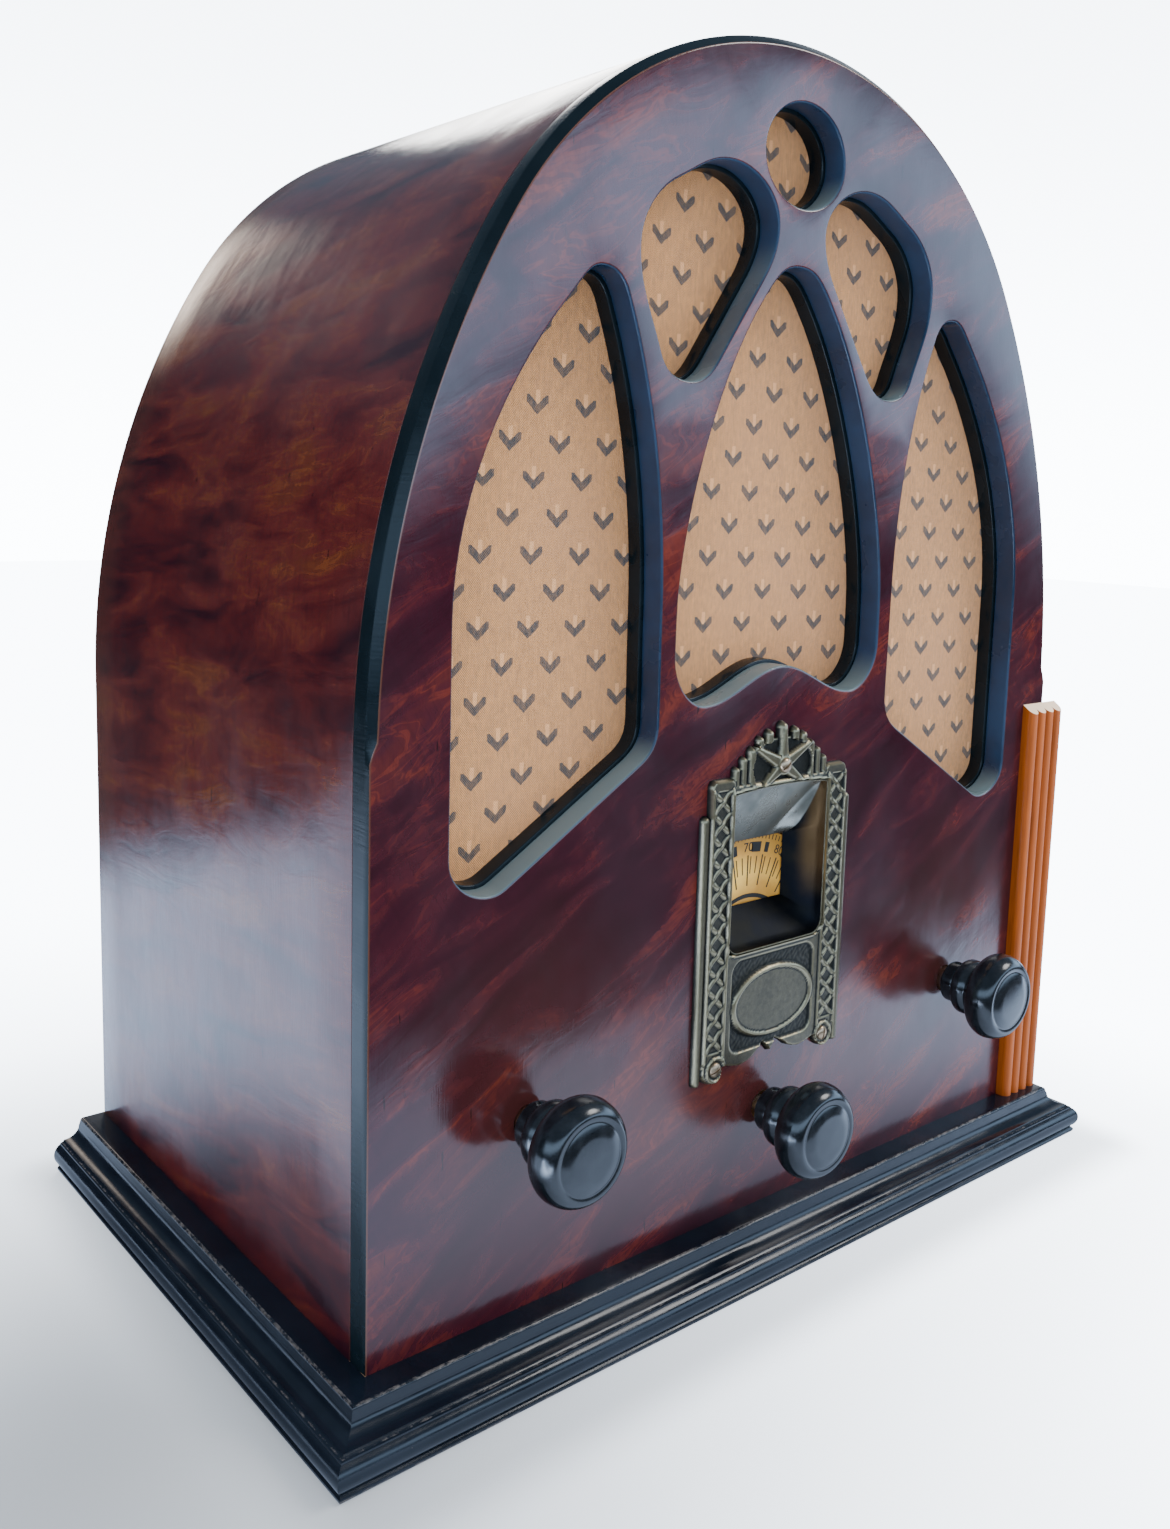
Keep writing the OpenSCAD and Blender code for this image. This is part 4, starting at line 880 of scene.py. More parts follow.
class ReceiverLook(bpy.types.PropertyGroup):
    """Colours of the finishes, and the pitch of the grille cloth's pattern in millimetres."""

    veneer_front: colour_of("Front veneer", "Ground of the front", (0.028, 0.0037, 0.0095))
    veneer_side: colour_of("Side veneer", "Ground of the sides", (0.05, 0.006, 0.007))
    flame_front: colour_of("Front figure", "Light figure in front", (0.172, 0.026, 0.013))
    flame_side: colour_of("Side figure", "Light figure of the sides", (0.135, 0.036, 0.01))
    veneer_dark: colour_of("Dark figure", "Dark figure and pores", (0.017, 0.0022, 0.006))
    veneer_worn: colour_of("Worn edge", "Where the lacquer is rubbed", (0.09, 0.034, 0.02))
    lacquer: colour_of("Black lacquer", "Moulded plinth", (0.003, 0.005, 0.009))
    edge: colour_of("Edge band", "Black edge of the front", (0.002, 0.0055, 0.008))
    # black paint with a navy tint that is partly a painted reflection of the blue studio light
    window_wall: colour_of("Window walls", "Painted edges", (0.004, 0.018, 0.045))
    lacquer_worn: colour_of("Rubbed lacquer", "Edges of the plinth", (0.14, 0.12, 0.11))
    raw_wood: colour_of("Raw board", "Inside of the cabinet", (0.5, 0.31, 0.15))
    raw_wood_dark: colour_of("Raw grain", "Grain inside the cabinet", (0.27, 0.14, 0.06))
    pilaster: colour_of("Pilaster", "Reeded strip", (0.335, 0.068, 0.0005))
    pilaster_end: colour_of("Pilaster end", "Cut top of the reeds", (0.6, 0.42, 0.27))
    pilaster_grain: colour_of("End grain", "Grain of that cut", (0.42, 0.294, 0.189))
    cloth: colour_of("Cloth", "Ground of the grille cloth", (0.63, 0.28, 0.08))
    cloth_rose: colour_of("Faded cloth", "Faded places in the cloth", (0.55, 0.25, 0.1))
    chevron: colour_of("Chevrons", "Dark marks in the cloth", (0.022, 0.021, 0.024))
    pitch: number("Pitch", "Chevron spacing across, in mm", 19.2)
    row: number("Rows", "Chevron spacing upward, in mm", 11.6)
    chevron_x: number("Pattern x", "Side shift in mm", -13.0)
    chevron_z: number("Pattern z", "Upward shift in mm", 105.4)
    slant: number("Slant", "Tilt of the cloth in degrees", 1.4)
    cast: colour_of("Casting", "Bronzed dial plate", (0.062, 0.056, 0.045))
    cast_dark: colour_of("Hollows", "Hollows of the dial plate", (0.02, 0.02, 0.017))
    cast_bright: colour_of("High places", "Rubbed casting", (0.27, 0.23, 0.14))
    screw: colour_of("Screws", "Dial plate screws", (0.42, 0.3, 0.19))
    scale: colour_of("Scale", "Dial scale away from its lamp", (0.42, 0.22, 0.04))
    scale_bright: colour_of("Lit scale", "Dial scale at its lamp", (0.74, 0.46, 0.09))
    glow: number("Glow", "Light through the dial scale", 0.42)
    knob: colour_of("Knobs", "Black moulded knobs", (0.003, 0.0045, 0.0065))


class ReceiverSizes(bpy.types.PropertyGroup):
    """Sizes of the visible pieces that the solids leave plain."""

    lip: size_of("Window lip", "Rounding of the windows' edges", 0.9)
    wall_lip: size_of("Grille lip", "Rounding of the second board's edges", 0.5)
    grid: size_of("Casting grid", "Spacing of the dial plate's relief", 0.5)
    ridge: size_of("Lattice height", "Height of the plate's lattice", 0.95)
    knob_r: size_of("Knob radius", "Radius of the knob heads", 17.2)
    knob_reach: size_of("Knob reach", "Reach of the knobs from the board", 33.0)
    cone_ribs: IntProperty(name="Cone ribs", description="Ribs pressed into the cone", default=5)


class ReceiverStage(bpy.types.PropertyGroup):
    """Camera, floor and light."""

    lens: number("Lens", "Focal length", 31.957, subtype="DISTANCE_CAMERA")
    shift_y: number("Shift", "Upward shift of the frame", -0.0624)
    floor: colour_of("Floor", "Floor under the set", (0.33, 0.34, 0.35))
    sky: colour_of("Studio", "Light of the studio", (0.84, 0.91, 1.0))
    sky_level: number("Fill", "Strength of the fill", 2.0)
    backdrop: number("Backdrop", "Brightness behind the set", 8.0)
    band: number("Band", "Height of the dark wall", 0.17)
    wall_front: number("Front light", "Light over the band", 4.4)
    wall_high: number("Ceiling", "Light overhead", 0.35)
    wall_left: number("Left wall", "Light on the left", 0.28)
    sheet_back: number("Sheet back", "Reach of the pale sheet to the back", 0.55)
    sheet_left: number("Sheet left", "Reach of the pale sheet to the left", 0.95)
    sheet_front: number("Sheet front", "Reach of the pale sheet to the front", 0.29)
    sheet_level: number("Sheet light", "Brightness of the sheet in the gloss", 30.0)
    key_watts: number("Key light", "Power of the main light", 34, unit="POWER")


# Operators


class RECEIVER_OT_stage(bpy.types.Operator):
    """Set the camera, the floor and soft studio light"""

    bl_idname = "receiver.stage"
    bl_label = "Stage"

    # the camera's azimuth, elevation and roll in degrees, and its place in metres
    view, stand = (-39.63, 7.68, 1.6), (-0.35733, -0.41142, 0.28242)

    def execute(self, context):
        stage = context.scene.receiver_stage
        self.camera(stage)
        self.floor(stage)
        self.light(stage)
        return {"FINISHED"}

    def camera(self, stage):
        """The camera that the photo's straight edges and arcs ask for."""
        az, el, roll = (math.radians(a) for a in self.view)
        back = Vector((math.sin(az) * math.cos(el), -math.cos(az) * math.cos(el), math.sin(el)))
        right = (-back).cross(Vector((0, 0, 1))).normalized()
        up = right.cross(-back)
        c, s = math.cos(roll), math.sin(roll)
        lens = bpy.data.cameras.new("camera")
        lens.lens = stage.lens
        lens.sensor_width = 36
        lens.shift_y = stage.shift_y
        lens.clip_start = 0.01
        camera = linked("camera", lens)
        turn = Matrix((c * right + s * up, c * up - s * right, back)).transposed().to_4x4()
        camera.matrix_world = Matrix.Translation(self.stand) @ turn
        bpy.context.scene.camera = camera

    def floor(self, stage):
        """A pale floor with a painted shadow: its glow is weaker close to the set and left of its
        front, and it brightens into the backdrop.
        """
        made = Finish("floor_paper", colour=tuple(stage.floor), rough=0.8)
        fleck = made.span(made.grain(0.4, 3.0, 0.6), 0.3, 0.7)
        made.feed(Base_Color=made.mix(fleck, stage.floor, times(stage.floor, 0.985)))
        x, y, _ = made.parts(made.spot())
        # painted shadow: the floor's glow grows with distance from a place left of the set's front
        # and is weaker next to the plinth
        away = span_of(x + 290, y + 70)
        foot = ((x, 186), (y, 120))  # near half the plinth's width and depth
        over = span_of(*((abs(v) - half).math("MAXIMUM", 0.0) for v, half in foot))
        contact_shadow = made.span(over, 0, 26, 0.3, 0.7) + made.span(over, 10, 150, 0.0, 0.3)
        light = {"Color": (*stage.sky, 1), "Strength": stage.backdrop * 1.5}
        glow = made.node("ShaderNodeEmission", None, light)
        paper = Wire(made.tree, made.shader.outputs[0])
        share = made.span(away, 0, 620) * contact_shadow
        blend = made.node("ShaderNodeMixShader", None, {0: share, 1: paper, 2: glow})
        made.put(made.tree.nodes["Material Output"].inputs[0], blend)
        floor = self.sheet("floor", range(-4, 5), -0.0002, made.material)
        floor.visible_glossy = floor.visible_diffuse = False
        self.card(stage)
        self.dome("backdrop", 5.5, self.even(stage), camera=True)
        self.dome("studio_walls", 2.4, self.walls(stage), camera=False)

    def sheet(self, name, steps, z, material):
        """A level square with its corners at the given steps."""
        corners = [(float(x), float(y), z) for y in steps for x in steps]
        mesh = mesh_of(name, corners, grid_faces(len(steps), len(steps)))
        return self.put(mesh, material)

    def put(self, mesh, material):
        mesh.materials.append(material)
        made = linked(mesh.name, mesh)
        return made

    def hidden(self, made, camera):
        """Leaves a piece of the stage to the camera, or to reflections, alone."""
        made.visible_camera = camera
        made.visible_glossy = not camera
        made.visible_diffuse = made.visible_transmission = made.visible_shadow = False
        made.visible_volume_scatter = False

    def card(self, stage):
        """The floor that the gloss reflects: a pale sheet, and a dark room past it."""
        made = Finish("dark_floor", colour=(0.01, 0.01, 0.01), rough=0.9, Emission_Strength=1.0)
        x, y, _ = made.parts(made.spot(scale=(0.001, 0.001, 0.001)))
        left, front, back = -stage.sheet_left, -stage.sheet_front, stage.sheet_back
        # the sheet's left, front and back ends; its front end slants
        ends = y - made.span(x, 0.0, 0.3, 0.0, 0.05)
        reach = made.span(x, left - 0.3, left + 0.02) * made.span(ends, front - 0.045, front + 0.01)
        reach = reach * made.span(y, back - 0.11, back + 0.11, 1.0, 0.0)
        # painted shadow in the reflected floor by the cabinet's side and most at its left front; it
        # is dimmer too before its face
        near = made.span(-0.19 - x, 0.02, 0.11, 0.92, 0.0) * made.span(y, 0.06, 0.26, 1.0, 0.0)
        ahead = made.span(y, -0.2, -0.06, 1.0, 0.115)
        corner = made.span(x, -0.42, -0.18, 0.75, 0.0) * made.span(y, -0.2, -0.15, 1.0, 0.0)
        share = reach * (1 - near) * (ahead * (1 - corner))
        light = times((0.56, 0.72, 1.0), stage.sheet_level)
        light = made.mix(made.span(x, 0.05, 0.32), light, times(light, 1.8))
        made.feed(Emission_Color=made.mix(share, (0.015, 0.012, 0.015), light))
        self.hidden(self.sheet("dark_floor", (-2.6, 0.0, 2.6), 0.0, made.material), False)

    def dome(self, name, size, material, camera):
        """Half a sphere whose rim reaches below the floor."""
        rows, n = 16, 48
        corners = []
        for r in range(rows + 1):
            up = math.pi / 2 * r / rows
            reach, z = size * math.cos(up), size * math.sin(up) - 0.3 * (r == 0)
            for a in (math.tau * k / n for k in range(n)):
                corners.append((reach * math.cos(a), reach * math.sin(a), z))
        mesh = mesh_of(name, corners, grid_faces(rows + 1, n, closed=True))
        mesh.shade_smooth()
        self.hidden(self.put(mesh, material), camera)

    def even(self, stage):
        """The backdrop's light, stronger low down."""
        made = Finish("backdrop", colour=(0, 0, 0), rough=1, Emission_Strength=1.0)
        _, _, z = made.parts(made.spot())
        low, high = (tuple(c * stage.backdrop * k for c in stage.sky) for k in (1.9, 1.0))
        return made.feed(Emission_Color=made.mix(made.span(z, -200, 2400), low, high)).material

    def walls(self, stage):
        """What the lacquer reflects: a dim room with light over its low walls in front."""
        made = Finish("studio_walls", colour=(0, 0, 0), rough=1, Emission_Strength=1.0)
        # places run from -1 to 1 over the dome, with z its height
        x, y, z = made.parts(made.spot(scale=(1 / 2400, 1 / 2400, 1 / 2400)))
        sky, dim, lamp = (0.54, 0.77, 1.08), (0.02, 0.018, 0.022), (1.0, 0.85, 0.72)
        strip = made.span(z, stage.band - 0.12, stage.band + 0.07) * made.span(z, 0.36, 0.5, 1, 0)
        front = made.mix(strip, dim, times(sky, stage.wall_front))
        front = made.mix(made.span(z, 0.45, 0.6), front, times(sky, stage.wall_high))
        left = made.mix(made.span(z, 0.34, 0.6), dim, times(sky, stage.wall_left))
        spot = made.span(span_of(x, y - 0.89, z - 0.46), 0.04, 0.15, 1.0, 0.0)
        left = made.mix(spot, left, times(lamp, 6))
        rear = made.span(x, 0.47, 0.62) * made.span(y, 0.1, 0.5)
        colour = made.mix(made.span(y, -0.1, 0.3), front, left)
        colour = made.mix(rear, colour, tuple(c * stage.backdrop * 0.24 for c in stage.sky))
        return made.feed(Emission_Color=colour).material

    def light(self, stage):
        """An even fill, a key light from the right front and a second from behind."""
        world = bpy.data.worlds.new("studio")
        bpy.context.scene.world = world
        world.use_nodes = True
        ground = world.node_tree.nodes["Background"]
        ground.inputs["Color"].default_value = (*stage.sky, 1)
        ground.inputs["Strength"].default_value = stage.sky_level
        self.lamp("key", (1.3, -1.0, 1.7), 0.9, stage.key_watts)
        self.lamp("rear", (0.9, 1.5, 1.6), 1.0, stage.key_watts * 1.2)

    def lamp(self, name, at, size, watts):
        """A square lamp aimed at the set."""
        light = bpy.data.lights.new(name, "AREA")
        light.shape = "SQUARE"
        light.size = size
        light.energy = watts
        light.color = (1.0, 0.985, 0.96)
        made = linked(name, light)
        made.location = at
        aim = Vector((0, 0, 0.2)) - made.location
        made.rotation_euler = aim.to_track_quat("-Z", "Y").to_euler()


class RECEIVER_OT_cable(bpy.types.Operator):
    """Lay the braided lead from the chassis to the output transformer"""

    bl_idname = "receiver.cable"
    bl_label = "Loudspeaker lead"

    # Route as x, depth and height above the plinth, in millimetres
    route = [
        (-40, 122, 34), (-40, 122, 42), (-40, 122, 50), (-41, 122, 64), (-43, 122, 84),
        (-46, 121, 110), (-48, 119, 140), (-49, 116, 170), (-49, 112, 200), (-49, 108, 230),
        (-48, 104, 258), (-46, 101, 282), (-43, 99.5, 300), (-38, 98.8, 312), (-30, 98.8, 318),
        (-22, 98.8, 318),
    ]  # fmt: skip

    def execute(self, context):
        path = []
        points = [place(*p) for p in self.route]
        for i, b in enumerate(points[:-1]):
            a, c = points[max(i - 1, 0)], points[i + 1]
            d = points[min(i + 2, len(points) - 1)]
            for t in (k / 6 for k in range(6)):
                bend = 2 * b + (c - a) * t + (2 * a - 5 * b + 4 * c - d) * t * t
                path.append(0.5 * (bend + (3 * b - a - 3 * c + d) * t**3))
        path.append(points[-1])
        form = Form()
        rows = []
        for i, p in enumerate(path):
            along = (path[min(i + 1, len(path) - 1)] - path[max(i - 1, 0)]).normalized()
            side = along.cross(Vector((0, 1, 0))).normalized()
            over = along.cross(side)
            turns = (math.tau * k / 20 for k in range(20))
            rows.append(
                form.add([p + 0.0025 * (math.cos(a) * side + math.sin(a) * over) for a in turns])
            )
        form.strips(rows, ends=True)
        made = form.piece("speaker_lead", ["braid"], ["speaker_cable"], "braid")
        sum((b - a).length for a, b in zip(path, path[1:]))
        return {"FINISHED"}


class RECEIVER_OT_front(bpy.types.Operator):
    """Build the veneered front board with its black edge band and six windows"""

    bl_idname = "receiver.front"
    bl_label = "Front board"

    def execute(self, context):
        lip = context.scene.receiver_sizes.lip * 1000
        form = Form()
        line = arch_line()
        # inset on the arch and on the straight sides, depth and wear, from face to back
        face, *edge = [
            form.loop(inward(line, e, straight), y, wear)
            for e, straight, y, wear in (
                (BEVEL + 0.6, 0.8, 0.0, 0.0),
                (BEVEL + 0.3, 0.45, 0.02, 0.8),
                (BEVEL, 0.18, 0.12, 1.0),
                (BEVEL - 0.12, 0.1, 0.24, 0.0),
                (0.35, 0.03, BEVEL - 0.4, 0.0),
                (0.1, 0.0, BEVEL - 0.05, 0.0),
                (0.0, 0.0, BEVEL + 0.4, 0.0),
                (0.0, 0.0, PANEL_T - 0.3, 0.0),
                (0.2, 0.2, PANEL_T, 0.0),
            )
        ]
        form.strips([face] + edge[:2])
        form.strips(edge[1:], 1)
        holes, back = [], []
        for outline in window_outlines():
            rows = form.lip(outline, lip, 0.0, 4, lambda k: 0.3 if k < 3 else 0.0)
            rows += [form.loop(outline, PANEL_T - 0.3), form.loop(grown(outline, 0.3), PANEL_T)]
            form.strips(rows[:2])
            form.strips(rows[1:], 3)
            holes.append(rows[0])
            back.append(rows[-1])
        plain = [(ring(x, z, BUSH_R), 0.3) for x, z in CONTROLS.values()] + [(DIAL_HOLE, 0.0)]
        for outline, wear in plain:
            rows = [form.loop(outline, 0.0, wear), form.loop(outline, PANEL_T)]
            form.strips(rows, 2)
            holes.append(rows[0])
            back.append(rows[-1])
        form.filled(face, holes)
        form.filled(edge[-1], back, 2)
        finishes = ["veneer_front", "edge_black", "raw_board", "window_black"]
        form.piece("veneered_front", finishes, ["front_panel"], "panel_veneer")
        return {"FINISHED"}


class RECEIVER_OT_wrap(bpy.types.Operator):
    """Build the bent and veneered sides and top"""

    bl_idname = "receiver.wrap"
    bl_label = "Cabinet wrap"

    def execute(self, context):
        form = Form()
        line = arch_line()
        rows = []
        skin = [(0.35, PANEL_T, 0.5), (0.08, PANEL_T + 0.12, 0.2), (0.0, PANEL_T + 0.5, 0.0)]
        skin += [(0.0, PANEL_T + k * (CASE_D - PANEL_T) / 9, 0.0) for k in range(1, 9)]
        skin += [(0.0, CASE_D - 1.2, 0.3), (0.25, CASE_D - 0.35, 1.0), (1.1, CASE_D, 0.6)]
        for e, y, wear in skin:
            rows.append(form.loop(inward(line, e), y, wear))
        form.strips(rows, 0, closed=False)
        inner = [rows[-1]]
        for e, y in ((WRAP_T - 0.6, CASE_D), (WRAP_T, CASE_D - 0.6), (WRAP_T, PANEL_T)):
            inner.append(form.loop(inward(line, e), y))
        form.strips(inner, 1, closed=False)
        form.strip(inner[-1], rows[0], 1, closed=False)
        around = rows + inner[1:]
        form.face([row[0] for row in around], 1)
        form.face([row[-1] for row in reversed(around)], 1)
        form.piece(
            "veneered_wrap", ["veneer_side", "raw_side"], ["cabinet_wrap"], "wrap_veneer"
        )
        return {"FINISHED"}


class RECEIVER_OT_grille(bpy.types.Operator):
    """Build the black second board and the patterned cloth behind the windows"""

    bl_idname = "receiver.grille"
    bl_label = "Grille board and cloth"

    def execute(self, context):
        self.board(context.scene.receiver_sizes.wall_lip * 1000)
        self.cloth()
        return {"FINISHED"}

    def outer(self, e, low):
        """The arch above low, with the notch that clears the dial."""
        top = inward(arch_line(), e, low=low)
        return top + [(NOTCH, low), (NOTCH, NOTCH_TOP), (-NOTCH, NOTCH_TOP), (-NOTCH, low)]

    def board(self, lip):
        form = Form()
        outline = self.outer(WRAP_T + 0.3, GRILLE_Z)
        front, back = form.loop(outline, PANEL_T + 0.02), form.loop(outline, CLOTH_Y - 0.05)
        form.strip(front, back, 1)
        near, far = [], []
        for shape in window_outlines():
            shape = grown(shape, -1.3)
            rows = form.lip(shape, lip, PANEL_T + 0.02, 3)
            rows.append(form.loop(shape, CLOTH_Y - 0.05))
            near.append(rows[0])
            far.append(rows[-1])
            form.strips(rows)
        form.filled(front, near)
        form.filled(back, far, 1)
        form.piece(
            "black_grille_board", ["edge_black", "raw_board"], ["grille_board"], "ebonised_wood"
        )

    def cloth(self):
        form = Form()
        outline = self.outer(WRAP_T + 8, GRILLE_Z + 4)
        front, back = form.loop(outline, CLOTH_Y), form.loop(outline, CLOTH_Y + CLOTH_T - 0.05)
        form.strip(front, back)
        form.filled(front, [])
        form.filled(back, [])
        made = form.piece("patterned_cloth", ["grille_weave"], ["grille_cloth"], "grille_cloth")
        area = sum(
            (a[0] * b[1] - b[0] * a[1]) / 2 for a, b in zip(outline, outline[1:] + outline[:1])
        )
        wide, tall = (max(p[k] for p in outline) - min(p[k] for p in outline) for k in (0, 1))
        wide / 1000
        tall / 1000
        abs(area) / 1e6


class RECEIVER_OT_plinth(bpy.types.Operator):
    """Run the black plinth moulding round the front and sides"""

    bl_idname = "receiver.plinth"
    bl_label = "Plinth moulding"

    def profile(self):
        """Outward reach, height and wear, from the bottom edge up to the ledge."""
        out, bead = PLINTH_OUT, LEDGE - 13.2
        shape = [(0.0, 0.0, 0), (out - 2.2, 0.0, 0), (out - 1.6, 0.2, 1), (out - 1.25, 0.9, 1)]
        shape += [(out - 1.3, 1.5, 0.4), (out - 1.9, 2.2, 0)]
        for k in range(21):
            a = math.radians(-64 + 128 * k / 20)
            wear = 0.55 * math.exp(-(((k - 13) / 4) ** 2))
            shape.append((out - 4.4 + 4.4 * math.cos(a), bead + 4.8 * math.sin(a), wear))
        shape += [(out - 2.6, bead + 4.75, 0.2), (out - 3.2, bead + 5.0, 1), (out - 3.7, 12.0, 0.8)]
        for k in range(11):
            a = math.pi / 2 * k / 10
            shape.append((out - 4.2 - 6 * math.sin(a), 12.6 + 4.6 * (1 - math.cos(a)), 0))
        lip = out - 10.8
        for k in range(7):
            a = math.pi / 2 * k / 6
            wear = 1.0 if 1 < k < 6 else 0.4
            shape.append((lip - 1.3 + 1.3 * math.cos(a), LEDGE - 1.3 + 1.3 * math.sin(a), wear))
        shape += [(lip - 3, LEDGE, 0.1), (0.0, LEDGE, 0)]
        return shape

    def execute(self, context):
        shape = self.profile()
        for name, side in (("front", 0), ("left", -1), ("right", 1)):
            form = Form()
            rows = []
            for out, z, wear in shape:
                x = HALF_W + out
                x0, x1, y1 = (side * x, side * x, CASE_D) if side else (-x, x, -out)
                row = [(x0 + (x1 - x0) * k / 24, -out + (y1 + out) * k / 24) for k in range(25)]
                rows.append(form.add([place(x, y, z - LEDGE) for x, y in row], wear))
            form.strips(rows + [rows[0]], closed=False)
            form.face([r[0] for r in rows])
            form.face([r[-1] for r in reversed(rows)])
            form.piece(f"moulding_{name}", ["ebonised_wood"], [f"plinth_{name}"], "ebonised_wood")
        return {"FINISHED"}


class RECEIVER_OT_pilaster(bpy.types.Operator):
    """Build the reeded strip at the right edge"""

    bl_idname = "receiver.pilaster"
    bl_label = "Pilaster"

    def execute(self, context):
        low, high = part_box("pilaster")
        right, width = high[0] * 1000, (high[0] - low[0]) * 1000
        top = high[2] * 1000 - LEDGE
        reeds, back = 4, 2.2
        pitch = width / reeds
        outline = [(right - width, 0.0, 0)]
        for i in range(reeds):
            cx = right - width + pitch * (i + 0.5)
            for k in range(15):
                a = math.pi - math.pi * k / 14
                x, y = cx + pitch / 2 * math.cos(a), -back - pitch / 2 * math.sin(a)
                outline.append((x, min(y, -back - 0.15), 0.5 * math.sin(a) ** 6))
        outline.append((right, 0.0, 0))
        form = Form()
        rows = []
        for x, y, wear in outline:
            peak = top + y * math.tan(math.radians(35))
            heights = [0.0] + [peak * k / 12 for k in range(1, 12)] + [peak - 0.35]
            column = form.add([place(x, y, z) for z in heights], wear)
            column += form.add([place(x, y * 0.985, peak - 0.05)], 1.0)
            rows.append(column)
        form.strips(rows, 0, closed=False)
        form.strip(rows[-1], rows[0], 0, closed=False)
        form.face([r[-1] for r in rows], 1)
        form.face([r[0] for r in reversed(rows)], 1)
        form.piece(
            "reeded_pilaster", ["pilaster_wood", "pilaster_end"], ["pilaster"], "pilaster_wood"
        )
        return {"FINISHED"}


def box_gap(x, z, cx, cz, hx, hz, r=0.0):
    """Signed distance to a rectangle with corners rounded by r, negative inside."""
    qx, qz = np.abs(x - cx) - hx + r, np.abs(z - cz) - hz + r
    outer = np.hypot(np.maximum(qx, 0), np.maximum(qz, 0))
    return outer + np.minimum(np.maximum(qx, qz), 0) - r


def bar_gap(x, z, ax, az, bx, bz, ra, rb=None):
    """Signed distance to a round-ended bar that goes from radius ra to rb."""
    rb = ra if rb is None else rb
    dx, dz = bx - ax, bz - az
    t = np.clip(((x - ax) * dx + (z - az) * dz) / (dx * dx + dz * dz), 0, 1)
    return np.hypot(x - ax - t * dx, z - az - t * dz) - (ra + (rb - ra) * t)


def outline_gap(x, z, points):
    """Signed distance to a closed outline, negative inside."""
    best = np.full(np.shape(x), 1e9)
    odd = np.zeros(np.shape(x), bool)
    for (ax, az), (bx, bz) in zip(points, points[1:] + points[:1]):
        best = np.minimum(best, bar_gap(x, z, ax, az, bx, bz, 0.0))
        crosses = (az > z) != (bz > z)
        odd ^= crosses & (x < (bx - ax) * (z - az) / (bz - az + 1e-12) + ax)
    return np.where(odd, -best, best)


def round_over(gap, radius, height):
    """Height of a slab whose edge is rounded over, inside a signed distance."""
    t = np.clip(-gap / radius, 0, 1)
    return height * np.sqrt(1 - (1 - t) ** 2)


def standing(tall, gap, height):
    """A relief with another one standing in it, wherever the signed distance is inside."""
    return np.maximum(tall, np.where(gap < 0, height, -1))


